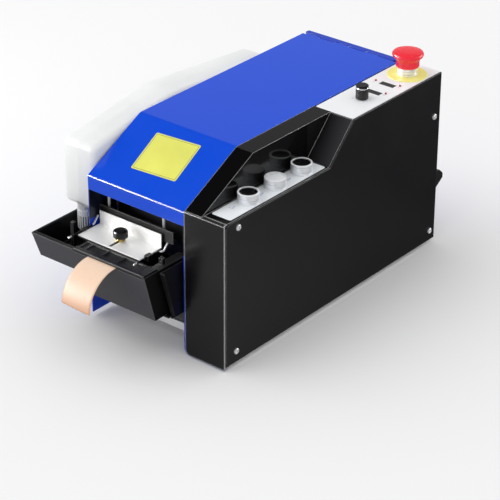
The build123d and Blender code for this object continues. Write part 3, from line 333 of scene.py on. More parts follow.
def orange_peel(paint, depth=PEEL_DEPTH, edge=PAINT_EDGE):
    """Fine orange peel over soft edges."""
    paint.relief([(paint.noise(PEEL_SIZE, detail=0.0), depth)], edge)


def powder_coat(name, colour, roughness, edge=PAINT_EDGE, gloss=0.5, edge_wear_and_highlight=None):
    """Sprayed and baked paint, its edges painted brighter, as wear and as a painted highlight,
    where an edge colour is given.
    """
    paint = sprayed(name, colour, roughness, gloss)
    if edge_wear_and_highlight:
        paint.worn_edges(edge_wear_and_highlight, edge)
    orange_peel(paint, edge=edge)
    return paint.material


def blue_sheet(name):
    """Blue sheet of the sides; behind the pressing plate its inside is painted near-black as
    painted shade.
    """
    paint = sprayed(name, (0.001, 0.045, 0.55), 0.34)
    across, back, up = paint.axes()
    inside = paint.math("MULTIPLY", paint.above(across, at(x=SHADED_INSIDE_X).x),
                        paint.above(up, at(z=SHADED_INSIDE_LOW_Z).z))
    inside = paint.math("MULTIPLY", inside, paint.below(back, at(y=SHADED_INSIDE_REAR_Y).y))
    # painted shade: the sheet's inside behind the pressing plate is turned near-black
    paint.recolour(inside, (0.004, 0.006, 0.02))
    orange_peel(paint)
    return paint.material


def deck_coat(name):
    """Glossy black of the recess; the ramp at its rear is painted grey towards the open side as a
    painted reflection.
    """
    paint = sprayed(name, (0.0035, 0.0035, 0.004), 0.09, gloss=0.26)
    across, back, up = paint.axes()
    painted_reflection = paint.remap(across, [at(x=x).x for x in RAMP_REFLECTION_X], (0.0, 0.85))
    on_ramp = paint.math("MULTIPLY", paint.above(back, at(y=RAMP_FOOT_Y).y),
                         paint.below(up, at(z=RAMP_TOP_Z).z))
    # painted reflection: the ramp turns grey towards the open side
    paint.recolour(paint.math("MULTIPLY", on_ramp, painted_reflection), (0.042, 0.042, 0.046))
    # paler edges: partly wear, partly a painted highlight
    paint.worn_edges((0.60, 0.60, 0.61), PAINT_EDGE)
    orange_peel(paint, depth=0.000001)
    return paint.material


def moulded(name, colour, roughness, grain=0.000012, edge=0.0003):
    """Moulded plastic with a fine spark-eroded grain of the given depth."""
    plastic = Paint(name, colour, roughness)
    plastic.mottle(plastic.noise(PLASTIC_CLOUDS), 0.93, 1.07)
    plastic.rough(plastic.noise(PLASTIC_PATCHES), 0.05)
    plastic.relief([(plastic.noise(PLASTIC_GRAIN, detail=4.0), grain)], edge)
    return plastic.material


def tank_plastic(name):
    """Moulded trough, grey on its leaning front; its ends and inside are near-black, as painted
    shade.
    """
    # near-black base: painted shade over the trough's ends and inside
    plastic = Paint(name, (0.0032, 0.0032, 0.0035), 0.42)
    plastic.set(specular_ior_level=0.32)
    plastic.mottle(plastic.noise(PLASTIC_CLOUDS), 0.9, 1.1)
    face = at(y=TANK_FRONT_Y, z=TANK_TOP_Z)
    _, back, up = plastic.axes()
    lean = plastic.math("MULTIPLY", plastic.math("SUBTRACT", up, face.z), TANK_LEAN)
    behind = plastic.math("ADD", plastic.math("SUBTRACT", back, face.y), lean)
    front_grey = plastic.mix(plastic.remap(plastic.noise(0.06), NOISE_RANGE),
                       (0.046, 0.046, 0.055), (0.053, 0.053, 0.062))
    plastic.recolour(plastic.below(behind, TANK_FRONT_GREY_DEPTH * MM), front_grey)
    # paler edges: partly wear, partly a painted highlight
    plastic.worn_edges((0.14, 0.14, 0.145), 0.0006)
    plastic.rough(plastic.noise(PLASTIC_PATCHES), 0.05)
    plastic.relief([(plastic.noise(PLASTIC_GRAIN, detail=4.0), 0.000008)], 0.0006)
    return plastic.material


def milky(name):
    """Natural polyethylene: milky and slightly see-through."""
    plastic = Paint(name, (0.84, 0.85, 0.845), 0.42)
    plastic.set(subsurface_weight=0.6, subsurface_radius=(1.0, 1.0, 1.0), subsurface_scale=0.035,
                specular_ior_level=0.3)
    plastic.mottle(plastic.noise(0.08), 0.96, 1.02)
    plastic.rough(plastic.noise(0.02), 0.05)
    plastic.relief([(plastic.noise(0.006, detail=2.0), 0.00005)], 0.001)
    return plastic.material


def clear_grey(name):
    """Frosted grey plastic of the bottle's cap, painted dark down in the slots between its ribs as
    painted shade.
    """
    plastic = Paint(name, (0.88, 0.91, 0.94), 0.3)
    plastic.set(subsurface_weight=0.5, subsurface_radius=(1.0, 1.0, 1.0), subsurface_scale=0.008)
    plastic.mottle(plastic.noise(0.01), 0.9, 1.08)
    across, back, up = plastic.axes()
    axis = at(*CAP_AXIS)
    squares = [plastic.math("POWER", plastic.math("SUBTRACT", value, middle), 2.0)
               for value, middle in ((across, axis.x), (back, axis.y))]
    reach = plastic.math("SQRT", plastic.math("ADD", *squares))
    slot_painted_shade = plastic.math("MULTIPLY", plastic.below(reach, CAP_SLOT_REACH * MM),
                           plastic.below(up, at(z=CAP_SLOT_TOP_Z).z))
    # painted shade down in the slots between the ribs
    plastic.recolour(slot_painted_shade, (0.06, 0.065, 0.075))
    plastic.rough(plastic.noise(0.004), 0.05)
    plastic.relief([(plastic.noise(0.0008), 0.00001)])
    return plastic.material


def brushed(name, colour, roughness, grain):
    """Metal brushed along one axis; grain holds the stretch along each axis."""
    metal = Paint(name, colour, roughness, metallic=1.0)
    lines = metal.noise(0.0012, detail=5.0, scale=grain)
    metal.mottle(lines, 0.82, 1.1)
    metal.rough(lines, 0.09)
    metal.relief([(lines, 0.00001)], METAL_EDGE)
    return metal.material


def satin_steel(name, colour, roughness, metallic):
    """Finely ground bright metal: smooth, pale, with a hair-fine grain across it."""
    metal = Paint(name, colour, roughness, metallic)
    grain = metal.noise(0.0009, scale=(0.06, 1.0, 1.0))
    metal.mottle(grain, 0.975, 1.01)
    metal.rough(grain, 0.03)
    metal.relief([(grain, 0.0000012)])
    return metal.material


def turned_plating(name):
    """Satin plating of the turned bezels: flat tops facing up made less metallic and so brighter,
    as painted light; greyer and ringed round the sides.
    """
    metal = Paint(name, (0.93, 0.95, 0.98), 0.30)
    rings = metal.noise(0.0011, detail=2.0, scale=(0.05, 0.05, 1.0))
    metal.mottle(rings, 0.95, 1.02)
    normal = metal.node("ShaderNodeTexCoord").outputs["Normal"]
    facing = metal.node("ShaderNodeSeparateXYZ", {"Vector": normal})
    # painted light: faces turned up are made brighter than the sides
    on_side = metal.below(facing.outputs["Z"], BEZEL_TOP_FACING)
    top, side = BEZEL_METALLIC
    metal.set(metallic=metal.math("MULTIPLY_ADD", on_side, side - top, top))
    metal.rough(rings, 0.04)
    metal.relief([(rings, 0.000004)])
    return metal.material


def plated(name, colour, roughness):
    """Satin or bright plated metal with faint cloudiness."""
    metal = Paint(name, colour, roughness, metallic=1.0)
    metal.mottle(metal.noise(0.012), 0.92, 1.06)
    metal.rough(metal.noise(0.004), 0.04)
    metal.relief([(metal.noise(0.0008), 0.000003)], METAL_EDGE)
    return metal.material


def galvanised(name):
    """Zinc-coated sheet with its spangle."""
    metal = Paint(name, (0.62, 0.63, 0.62), 0.42, metallic=0.9)
    spangle = metal.node("ShaderNodeTexVoronoi", {"Vector": metal.place, "Scale": 160.0})
    metal.mottle(spangle.outputs["Distance"], 0.82, 1.12)
    metal.rough(metal.noise(0.006), 0.08)
    metal.relief([(metal.noise(0.0015), 0.000006)])
    return metal.material


def two_tone_wire(name):
    """Black-sleeved wire, bright at both ends."""
    wire = Paint(name, (0.88, 0.88, 0.89), 0.22, metallic=0.6)
    wire.mottle(wire.noise(0.003), 0.95, 1.03)
    low, high = [at(y=y).y for y in WIRE_SLEEVE_Y]
    sleeved = wire.math("COMPARE", wire.axes()[1], (low + high) / 2, (high - low) / 2)
    wire.recolour(sleeved, (0.006, 0.006, 0.007))
    wire.rough(wire.noise(0.002), 0.04)
    wire.relief([(wire.noise(0.0006), 0.000004)], edge=0.0)
    return wire.material


def rubber(name):
    """Matt rubber, dusty in its grain."""
    soft = Paint(name, (0.018, 0.018, 0.018), 0.78)
    soft.mottle(soft.noise(0.004, detail=5.0), 0.7, 1.5)
    soft.rough(soft.noise(0.006), 0.06)
    soft.relief([(soft.noise(0.0005, detail=4.0), 0.00003)])
    return soft.material


def gummed_tape(name):
    """Pale gummed paper: painted paler high up and darker and warmer lower down as painted light
    and shade, with long fibres and a slight sheen.
    """
    sheet = Paint(name, (0.97, 0.70, 0.47), 0.5)
    sheet.set(specular_ior_level=0.35)
    # painted light and shade: darker and warmer low down, paler high up
    height = sheet.remap(sheet.axes()[2], [at(z=z).z for z in TAPE_SHADE_Z])
    lit_and_shaded_tone = sheet.mix(height, (0.74, 0.40, 0.235), (0.97, 0.73, 0.55))
    fibres = sheet.noise(0.0018, detail=6.0, scale=(1.0, 0.22, 0.22))
    shade = sheet.mix(sheet.remap(fibres, NOISE_RANGE), (1.0, 1.0, 1.0), (0.955, 0.945, 0.93))
    sheet.set(base_color=sheet.mix(1.0, lit_and_shaded_tone, shade, blend="MULTIPLY"))
    sheet.relief([(fibres, 0.000006), (sheet.noise(0.02), 0.00003)], edge=0.0)
    return sheet.material


def paper(name, rings=False):
    """Kraft paper: fibres, faint clouds, and on the roll the edges of its wound layers."""
    sheet = Paint(name, (0.60, 0.40, 0.24), 0.62)
    sheet.set(specular_ior_level=0.3)
    fibres = sheet.noise(0.0016, detail=6.0, scale=(1.0, 0.25, 1.0))
    sheet.mottle(fibres, 0.9, 1.06)
    heights = [(fibres, 0.00002), (sheet.noise(0.014, detail=4.0), 0.00004)]
    if rings:
        low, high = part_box("tape_roll")
        middle = (low + high) / 2
        about_axis = sheet.node("ShaderNodeMapping", {
            "Vector": sheet.place, "Location": (0.0, -middle.y, -middle.z),
            "Scale": (0.0, 1.0, 1.0)}, vector_type="POINT")
        wound = sheet.node("ShaderNodeTexWave", {
            "Vector": about_axis.outputs["Vector"], "Scale": 230.0, "Distortion": 0.3},
            wave_type="RINGS", rings_direction="X")
        heights.append((wound.outputs["Fac"], 0.00006))
    sheet.relief(heights, edge=0.0)
    return sheet.material


def bristles(name):
    """Tops of the brush rows."""
    hair = Paint(name, (0.05, 0.04, 0.03), 0.7)
    spots = hair.noise(0.0006, scale=(1.0, 1.0, 0.05))
    hair.mottle(spots, 0.4, 2.2)
    hair.rough(spots, 0.1)
    hair.relief([(spots, 0.0003)])
    return hair.material


def circuit(name):
    """Green board with its tracks."""
    board = Paint(name, (0.015, 0.16, 0.06), 0.35)
    tracks = board.node("ShaderNodeTexBrick", {"Vector": board.place, "Scale": 90.0})
    board.mottle(tracks.outputs["Fac"], 0.75, 1.5)
    board.rough(board.noise(0.004), 0.08)
    board.relief([(tracks.outputs["Fac"], 0.00003)])
    return board.material


# the edge colours given below paint paler edges: partly wear, partly a painted highlight
BLUE = powder_coat("blue_powder_coat", (0.0008, 0.070, 0.70), 0.19, edge_wear_and_highlight=(0.10, 0.22, 0.85))
DEEP_BLUE = blue_sheet("blue_sheet")
BLACK = powder_coat("black_powder_coat", (0.0045, 0.0045, 0.0055), 0.30, gloss=0.46,
                    edge_wear_and_highlight=(0.22, 0.22, 0.23))
GLOSS_BLACK = deck_coat("gloss_black")
COVER_BLACK = powder_coat("cover_powder_coat", (0.0045, 0.0045, 0.0055), 0.22, edge=0.002,
                          edge_wear_and_highlight=(0.5, 0.5, 0.51))
WHITE = powder_coat("white_plate", (0.90, 0.91, 0.93), 0.42)
LABEL_WHITE = powder_coat("pale_blue_plate", (0.91, 0.95, 0.99), 0.30)
DARK_BAR = powder_coat("dark_bar", (0.006, 0.006, 0.007), 0.42)
HEATER = powder_coat("dark_anodised", (0.009, 0.0085, 0.0085), 0.45, gloss=0.18,
                     edge_wear_and_highlight=(0.30, 0.30, 0.30))
TANK = tank_plastic("tank_plastic")
FRAME = powder_coat("frame_plastic", (0.0045, 0.0045, 0.005), 0.40, gloss=0.4,
                    edge_wear_and_highlight=(0.12, 0.12, 0.125))
CARRIER = powder_coat("carrier_plastic", (0.004, 0.004, 0.0045), 0.42, gloss=0.35,
                      edge_wear_and_highlight=(0.06, 0.06, 0.062))
KNOB = moulded("knob_plastic", (0.006, 0.006, 0.0065), 0.3, edge=0.0002)
CAP = moulded("cap_plastic", (0.005, 0.005, 0.006), 0.24, edge=0.0005)
RED = moulded("red_plastic", (0.97, 0.026, 0.048), 0.26, grain=0.000004, edge=0.0006)
YELLOW = moulded("yellow_plastic", (0.97, 0.93, 0.25), 0.4)
LABEL = moulded("yellow_vinyl", (0.80, 0.80, 0.13), 0.42, grain=0.000002, edge=0.0)
INK = moulded("dark_ink", (0.03, 0.035, 0.03), 0.5, grain=0.000001, edge=0.0)
BLUE_INK = moulded("blue_ink", (0.05, 0.20, 0.55), 0.5, grain=0.000001, edge=0.0)
LAMP = moulded("lamp_lens", (0.45, 0.02, 0.03), 0.15, grain=0.000001, edge=0.0)
OFF_WHITE = moulded("off_white_plastic", (0.68, 0.67, 0.62), 0.45)
BLOCK = moulded("switch_block_plastic", (0.05, 0.05, 0.055), 0.5)
WINDOW = moulded("window_plastic", (0.020, 0.019, 0.022), 0.12, grain=0.000001)
STEEL = satin_steel("satin_steel", (0.97, 0.97, 0.955), 0.48, 0.25)
SHAFT = brushed("turned_steel", (0.66, 0.67, 0.68), 0.25, grain=(1.0, 0.1, 0.1))
ALUMINIUM = brushed("satin_aluminium", (0.70, 0.71, 0.72), 0.36, grain=(1.0, 0.2, 1.0))
CHROME = plated("bright_plating", (0.90, 0.91, 0.92), 0.12)
SATIN = turned_plating("satin_plating")
SCREW = satin_steel("zinc_plating", (0.90, 0.90, 0.92), 0.28, 0.6)
PIN = satin_steel("bright_pin", (0.95, 0.95, 0.96), 0.25, 0.15)
BRASS = plated("turned_brass", (0.88, 0.68, 0.28), 0.24)
ZINC = galvanised("galvanised_sheet")
BASE = satin_steel("bright_zinc", (0.97, 0.97, 0.98), 0.34, 0.05)
RUBBER = rubber("rubber")
KRAFT = paper("kraft_paper")
KRAFT_ROLL = paper("kraft_roll", rings=True)
TAPE = gummed_tape("gummed_tape")
MILKY = milky("milky_polyethylene")
CAP_GREY = clear_grey("frosted_cap")
BRISTLES = bristles("bristles")
BOARD = circuit("circuit_board")
RODS = two_tone_wire("carrier_wires")

FINISHES = {
    BLUE: ["lid"],
    DEEP_BLUE: ["side_and_rear_panel", "inner_wall"],
    BLACK: ["right_side_panel"],
    COVER_BLACK: ["control_front_cover"],
    GLOSS_BLACK: ["control_deck"],
    WHITE: ["control_panel_plate"],
    LABEL_WHITE: ["button_label_plate"],
    HEATER: ["heater_block"],
    FRAME: ["tank_top_frame"],
    BASE: ["base_plate"],
    RODS: ["plate_rods"],
    DARK_BAR: ["front_cross_bar", "tank_cradle", "feed_motor", "cutter_solenoid"],
    TANK: ["water_tank"],
    CARRIER: ["plate_carrier", "mains_entry_hood", "estop_plunger"],
    KNOB: ["length_knob", "thumb_knob"],
    CAP: ["front_button_cap", "rear_button_cap"],
    RED: ["estop_head"],
    YELLOW: ["estop_disc"],
    OFF_WHITE: ["roll_hub", "roll_guide_left", "roll_guide_right", "roller_bearings"],
    BLOCK: ["contact_blocks"],
    WINDOW: ["display_windows"],
    STEEL: ["pressing_plate", "moving_blade", "tape_guide"],
    SHAFT: ["feed_shaft", "roll_axle", "lid_hinge_pin"],
    ALUMINIUM: ["power_supply", "blade_carrier"],
    PIN: ["lift_pins"],
    SATIN: ["button_bezels", "middle_button_cap", "estop_collar"],
    SCREW: ["side_screws"],
    BRASS: ["thumb_collar", "motor_pinion"],
    ZINC: ["left_frame_plate", "roll_cradle", "cutter_frame"],
    RUBBER: ["rubber_feet", "feed_roller", "pinch_roller"],
    KRAFT: ["tape_web"],
    KRAFT_ROLL: ["tape_roll"],
    TAPE: ["tape_strip"],
    MILKY: ["water_bottle"],
    CAP_GREY: ["bottle_cap"],
    BRISTLES: ["wetting_brushes"],
    BOARD: ["control_board"],
}

for material, names in FINISHES.items():
    for name in names:
        for place in NODES[name].material_slots:
            place.material = material


# ---------------------------------------------------------------- pieces
def add(name, bm, node, material, smooth=False):
    """A new piece that rides with a CAD node's body, in the given material."""
    bmesh.ops.recalc_face_normals(bm, faces=bm.faces)
    mesh = bpy.data.meshes.new(name)
    bm.to_mesh(mesh)
    bm.free()
    for face in mesh.polygons:
        face.use_smooth = smooth
    mesh.materials.append(material)
    piece = bpy.data.objects.new(name, mesh)
    bpy.context.scene.collection.objects.link(piece)
    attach(piece, body_of(NODES[node])[0])
    return piece


def bridge(bm, low, high, closed=True):
    """Band of faces between two rows of as many vertices, closed where the rows are rings."""
    count = len(low)
    for n in range(count if closed else count - 1):
        m = (n + 1) % count
        bm.faces.new((low[n], low[m], high[m], high[n]))


def lathe(bm, profile, centre, steps=48):
    """Rings of a surface turned about a vertical axis from (radius, height) points in mm."""
    rings = []
    for radius, height in profile:
        turns = [2 * math.pi * n / steps for n in range(steps)]
        rings.append([bm.verts.new(at(centre[0] + radius * math.cos(turn),
                                      centre[1] + radius * math.sin(turn), height))
                      for turn in turns])
    for low, high in zip(rings, rings[1:]):
        bridge(bm, low, high)
    return rings


def close_ends(bm, rings):
    """Flat faces over the first and the last ring."""
    bm.faces.new(rings[0])
    bm.faces.new(rings[-1])


class Face:
    """A flat place on a CAD node: points on it by (u, v) in mm, lifted off it by w."""

    def __init__(self, node, x, y, turn=0.0):
        part = NODES[node]
        back = part.matrix_world.inverted()
        above = at(x, y, OVER_ALL_Z)
        hit, point, normal, _ = part.ray_cast(back @ above, back.to_3x3() @ Vector((0, 0, -1)))
        if not hit:
            raise RuntimeError(f"no surface of {node} under {x}, {y}")
        self.origin = part.matrix_world @ point
        self.out = (part.matrix_world.to_3x3() @ normal).normalized()
        self.along = Quaternion(self.out, math.radians(turn)) @ Vector((1, 0, 0))
        self.up = self.out.cross(self.along)

    def point(self, u, v, w):
        return self.origin + (self.along * u + self.up * v + self.out * w) * MM

    def ring(self, bm, outline, lift):
        return [bm.verts.new(self.point(u, v, lift)) for u, v in outline]

    def plate(self, bm, outline, thickness, lift=0.0):
        """Plate of the outline, standing on the place."""
        rings = [self.ring(bm, outline, lift), self.ring(bm, outline, lift + thickness)]
        bridge(bm, *rings)
        close_ends(bm, rings)

    def border(self, bm, outer, inner, thickness, lift=0.0):
        """Narrow frame between two outlines of as many points."""
        top = lift + thickness
        rings = [self.ring(bm, outline, w)
                 for outline, w in ((outer, lift), (outer, top), (inner, top), (inner, lift))]
        for a, b in zip(rings, rings[1:] + rings[:1]):
            bridge(bm, a, b)


def rounded(width, height, radius, inset=0.0, steps=5):
    """Outline of a rounded rectangle about the middle, in from its edge by the inset."""
    w, h, r = width / 2 - inset, height / 2 - inset, radius - inset
    points = []
    corners = ((w - r, h - r, 0), (r - w, h - r, 90), (r - w, r - h, 180), (w - r, r - h, 270))
    for x, y, start in corners:
        for n in range(steps + 1):
            turn = math.radians(start + 90 * n / steps)
            points.append((x + r * math.cos(turn), y + r * math.sin(turn)))
    return points


def bar(u, v, length, width, turn=0.0):
    """Outline of a short bar about (u, v), turned by an angle in degrees."""
    c, s = math.cos(math.radians(turn)), math.sin(math.radians(turn))
    a, b = length / 2, width / 2
    return [(u + p * c - q * s, v + p * s + q * c) for p, q in ((-a, -b), (a, -b), (a, b), (-a, b))]


def eased(corners, inset):
    """Outline of a convex polygon of (y, z, radius) corners, moved in by the inset and rounded."""
    places = [Vector((y, z)) for y, z, _ in corners]
    middle = sum(places, Vector((0, 0))) / len(places)
    lines = []
    for a, b in zip(places, places[1:] + places[:1]):
        inwards = Vector((a.y - b.y, b.x - a.x)).normalized()
        if inwards.dot(middle - a) < 0:
            inwards = -inwards
        lines.append((a + inwards * inset, (b - a).normalized()))
    outline = []
    for n, (_, _, radius) in enumerate(corners):
        (a, u), (b, v) = lines[n - 1], lines[n]
        corner = a + u * ((b.x - a.x) * v.y - (b.y - a.y) * v.x) / (u.x * v.y - u.y * v.x)
        half_turn = math.acos(max(-1.0, min(1.0, u.dot(v)))) / 2
        radius = max(radius - inset, BOTTLE_LEAST_ROUND)
        reach = radius * math.tan(half_turn)
        centre = corner + (v - u).normalized() * radius / math.cos(half_turn)
        start, end = corner - u * reach - centre, corner + v * reach - centre
        for step in range(BOTTLE_CORNER_STEPS + 1):
            arm = start.lerp(end, step / BOTTLE_CORNER_STEPS)
            outline.append(centre + arm.normalized() * radius)
    return outline


def moulded_bottle():
    """Blown bottle with soft corners and a parting line round it, its neck down at the front."""
    low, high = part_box("water_bottle")
    left, right = (low.x - RIGHT_X) / MM, (high.x - RIGHT_X) / MM
    front, rear = (low.y - FRONT_Y) / MM, (high.y - FRONT_Y) / MM
    corners = [(front + y, z, radius) for y, z, radius in BOTTLE_FRONT]
    corners += [BOTTLE_PEAK]
    corners += [(rear + y, z, radius) for y, z, radius in BOTTLE_REAR]
    side = []
    for n in range(BOTTLE_SIDE_STEPS + 1):
        turn = math.radians(90 * n / BOTTLE_SIDE_STEPS)
        side.append((left + BOTTLE_SIDE_ROUND * (1 - math.cos(turn)),
                     BOTTLE_SIDE_ROUND * (1 - math.sin(turn))))
    seam = [((left + right) / 2 + offset, inset) for offset, inset in PARTING_LINE]
    other_side = [(left + right - x, inset) for x, inset in reversed(side)]
    bm = bmesh.new()
    rings = [[bm.verts.new(at(x, y, z)) for y, z in eased(corners, inset)]
             for x, inset in side + seam + other_side]
    for a, b in zip(rings, rings[1:]):
        bridge(bm, a, b)
    close_ends(bm, rings)
    close_ends(bm, lathe(bm, NECK_PROFILE, CAP_AXIS))
    bottle = add("moulded_bottle", bm, "water_bottle", MILKY, smooth=True)
    bottle.data.set_sharp_from_angle(angle=math.radians(BOTTLE_SHARP_DEG))
    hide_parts("water_bottle")


def slope_label():
    """Blank yellow label on the lid's slope, with the thin line round its edge."""
    slope = Face("lid", *SLOPE_LABEL_PLACE, turn=SLOPE_LABEL_TURN)
    outline, *line = [rounded(*SLOPE_LABEL_SIZE, SLOPE_LABEL_ROUND, inset)
                      for inset in (0.0, *SLOPE_LINE_INSETS)]
    bm = bmesh.new()
    slope.plate(bm, outline, SLOPE_LABEL_THICK, SLOPE_LABEL_LIFT)
    add("slope_label", bm, "lid", LABEL)
    bm = bmesh.new()
    slope.border(bm, *line, SLOPE_LINE_THICK, SLOPE_LABEL_THICK)
    add("slope_label_line", bm, "lid", INK)


def knob_ring():
    """Bright ring pressed into the knob's groove."""
    bm = bmesh.new()
    profile = [(radius, PANEL_TOP_Z + height) for radius, height in KNOB_RING]
    rings = lathe(bm, profile, KNOB_AXIS, KNOB_RING_STEPS)
    bridge(bm, rings[-1], rings[0])
    add("knob_ring", bm, "length_knob", CHROME, smooth=True)


def dial_marks():
    """Scale printed round the length knob: eleven strokes, the first, middle and last longer."""
    panel = Face("control_panel_plate", KNOB_AXIS[0], KNOB_AXIS[1] - BESIDE_KNOB)
    bm = bmesh.new()
    for n in range(DIAL_STROKES):
        degrees = DIAL_START_DEG + DIAL_STEP_DEG * n
        turn = math.radians(degrees)
        length = DIAL_LONG if n % DIAL_LONG_EVERY == 0 else DIAL_SHORT
        reach = DIAL_LOW_R + length / 2
        u, v = reach * math.cos(turn), BESIDE_KNOB + reach * math.sin(turn)
        panel.plate(bm, bar(u, v, length, DIAL_WIDTH, degrees), PRINT_THICK)
    add("dial_marks", bm, "control_panel_plate", BLUE_INK)


def panel_lamps():
    """Small lamps in the panel's holes, each with a short stroke beside it."""
    marks = bmesh.new()
    profile = [(radius, PANEL_TOP_Z + height) for radius, height in LAMP_PROFILE]
    for n, (x, y) in enumerate(LAMPS, 1):
        bm = bmesh.new()
        close_ends(bm, lathe(bm, profile, (x, y), LAMP_STEPS))
        add(f"panel_lamp_{n}", bm, "control_panel_plate", LAMP, smooth=True)
        panel = Face("control_panel_plate", x, y - LAMP_MARK_BEFORE)
        panel.plate(marks, bar(0, 0, *LAMP_MARK_SIZE), PRINT_THICK)
    add("lamp_marks", marks, "control_panel_plate", BLUE_INK)


def figure_marks():
    """Numbers one to three beside the push-buttons, over a short line."""
    for n, (x, y) in enumerate(BUTTON_FIGURES, 1):
        place = Face("button_label_plate", x, y)
        curve = bpy.data.curves.new(f"button_figure_{n}", "FONT")
        curve.body = str(n)
        curve.size = FIGURE_SIZE * MM
        curve.align_x = curve.align_y = "CENTER"
        curve.extrude = FIGURE_THICK * MM
        curve.materials.append(BLUE_INK)
        figure = bpy.data.objects.new(f"button_figure_{n}", curve)
        bpy.context.scene.collection.objects.link(figure)
        turn = Matrix((place.along, place.up, place.out)).transposed().to_4x4()
        figure.matrix_world = Matrix.Translation(place.point(0, 0, FIGURE_LIFT)) @ turn
        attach(figure, body_of(NODES["button_label_plate"])[0])
        bm = bmesh.new()
        place.plate(bm, bar(0, FIGURE_LINE_BELOW, *FIGURE_LINE_SIZE), PRINT_THICK)
        add(f"button_line_{n}", bm, "button_label_plate", BLUE_INK)


def tape_rows(lift):
    """Rows of (x, y, z) places across the tape, from its start inside to its cut end."""
    left, right = TAPE_X
    across = [-1 + 2 * n / TAPE_COLUMNS for n in range(TAPE_COLUMNS + 1)]
    places = [((left + right) / 2 + (right - left) / 2 * u, u) for u in across]
    rows = []
    for n in range(TAPE_FLAT_ROWS):
        y = TAPE_START_Y + (TANK_FRONT_Y - TAPE_START_Y) * n / TAPE_FLAT_ROWS
        rows.append([(x, y, TAPE_Z + lift) for x, _ in places])
    for n in range(TAPE_ARC_ROWS + 1):
        share = n / TAPE_ARC_ROWS
        row = []
        for x, u in places:
            radius = TAPE_ARC_R + lift - TAPE_BOW * (share * u) ** 2
            turn = math.radians(TAPE_ARC_DEG) * share + TAPE_TWIST * share ** 2 * u
            row.append((x, TANK_FRONT_Y - radius * math.sin(turn),
                        TAPE_Z - TAPE_ARC_R + radius * math.cos(turn)))
        rows.append(row)
    return rows


def tape_strip():
    """Cut tape: flat under the frame, then over the tank's edge in a bowed, twisted curl."""
    bm = bmesh.new()
    under, over = [[[bm.verts.new(at(*place)) for place in row] for row in tape_rows(lift)]
                   for lift in (0.0, TAPE_THICK)]
    for face in (under, over):
        for a, b in zip(face, face[1:]):
            bridge(bm, a, b, closed=False)
    for end in (0, -1):
        bridge(bm, under[end], over[end], closed=False)
        bridge(bm, [row[end] for row in under], [row[end] for row in over], closed=False)
    sheet = add("curled_tape", bm, "tape_strip", TAPE, smooth=True)
    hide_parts("tape_strip")


bpy.context.view_layer.update()
moulded_bottle()
slope_label()
knob_ring()
dial_marks()
panel_lamps()
figure_marks()
tape_strip()


# ---------------------------------------------------------------- stage
def in_gloss(tree, seen, elsewhere):
    """Colour socket: one colour where glossy surfaces see it, and another for the rest."""
    path = tree.nodes.new("ShaderNodeLightPath")
    return mix_colours(tree, path.outputs["Is Glossy Ray"], elsewhere, seen)


def pale_floor():
    """White sweep, dimmer where glossy surfaces see it, as if flagged off."""
    bpy.ops.mesh.primitive_plane_add(size=FLOOR_SIZE, location=(0, 0, 0))
    floor = bpy.context.object
    floor.name = "floor"
    pale = Paint("pale_floor", (0.9, 0.9, 0.905), 0.9)
    pale.set(specular_ior_level=0.0)
    white = pale.mottle(pale.noise(0.8), 0.995, 1.0)
    fade = pale.remap(pale.axes()[1], FLOOR_FADE_Y)
    pale.set(base_color=in_gloss(pale.tree, pale.mix(fade, *FLOOR_IN_GLOSS), white))
    floor.data.materials.append(pale.material)


def studio_sky():
    """Even light all round; in reflections a bright horizon under a dark ceiling."""
    world = bpy.data.worlds.new("studio")
    bpy.context.scene.world = world
    world.use_nodes = True
    tree = world.node_tree
    place = tree.nodes.new("ShaderNodeTexCoord")
    split = tree.nodes.new("ShaderNodeSeparateXYZ")
    tree.links.new(place.outputs["Generated"], split.inputs["Vector"])
    ramp = tree.nodes.new("ShaderNodeValToRGB")
    while len(ramp.color_ramp.elements) < len(SKY_IN_GLOSS):
        ramp.color_ramp.elements.new(0.5)
    for stop, (height, value) in zip(ramp.color_ramp.elements, SKY_IN_GLOSS):
        stop.position = height
        stop.color = (value, value, value, 1.0)
    tree.links.new(split.outputs["Z"], ramp.inputs["Fac"])
    tree.links.new(in_gloss(tree, ramp.outputs["Color"], SKY_LIGHT),
                   tree.nodes["Background"].inputs["Color"])
    # sampled as a light, the sky would send its diffuse brightness into the gloss
    world.cycles.sampling_method = "NONE"


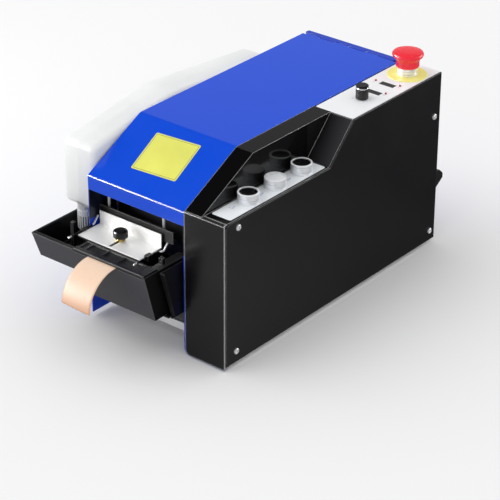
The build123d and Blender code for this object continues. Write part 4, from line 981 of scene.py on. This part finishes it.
def place_object(name, data, location, forwards):
    """Light or camera at a location, looking forwards."""
    made = bpy.data.objects.new(name, data)
    bpy.context.scene.collection.objects.link(made)
    made.location = location
    made.rotation_mode = "QUATERNION"
    made.rotation_quaternion = Vector(forwards).to_track_quat("-Z", "Y")
    return made


def key_light():
    """Broad soft sun from the front left, out of sight of the gloss."""
    sun = bpy.data.lights.new("key", "SUN")
    sun.energy = KEY_STRENGTH
    sun.angle = math.radians(KEY_SPREAD_DEG)
    place_object("key", sun, (0, 0, 0), KEY_DIRECTION).visible_glossy = False


def softbox(name, place, size, power, aim=MACHINE_MIDDLE, glossy=True):
    """Rectangular light that shows in glossy surfaces alone, or else lights diffuse ones alone."""
    data = bpy.data.lights.new(name, "AREA")
    data.shape = "RECTANGLE"
    data.size, data.size_y = size
    data.energy = power
    light = place_object(name, data, place, Vector(aim) - Vector(place))
    light.visible_glossy = light.visible_camera = glossy
    light.visible_diffuse = not glossy


def photo_camera():
    """Camera on a long lens, aimed from the front right and above."""
    azimuth, elevation = math.radians(CAMERA_AZIMUTH), math.radians(CAMERA_ELEVATION)
    back = Vector((math.sin(azimuth) * math.cos(elevation),
                   -math.cos(azimuth) * math.cos(elevation), math.sin(elevation)))
    data = bpy.data.cameras.new("photo_camera")
    data.sensor_width = CAMERA_SENSOR
    data.lens = CAMERA_LENS
    data.clip_end = CAMERA_CLIP_END
    place = at(*CAMERA_TARGET) + back * CAMERA_DISTANCE * MM
    camera = place_object("photo_camera", data, place, -back)
    camera.rotation_quaternion @= Quaternion((0, 0, 1), math.radians(CAMERA_ROLL))
    bpy.context.scene.camera = camera


bpy.context.scene.view_settings.view_transform = "Standard"
pale_floor()
studio_sky()
key_light()
softbox("left_strip", (-3.0, -2.3, 0.85), size=(2.6, 1.5), power=500)
softbox("right_strip", (2.6, 3.0, 0.6), size=(2.2, 0.7), power=90)
softbox("left_fill", (-0.95, -0.20, 0.45), size=(0.8, 0.5), power=0.8, aim=(-0.35, 0.10, 0.0),
        glossy=False)
photo_camera()
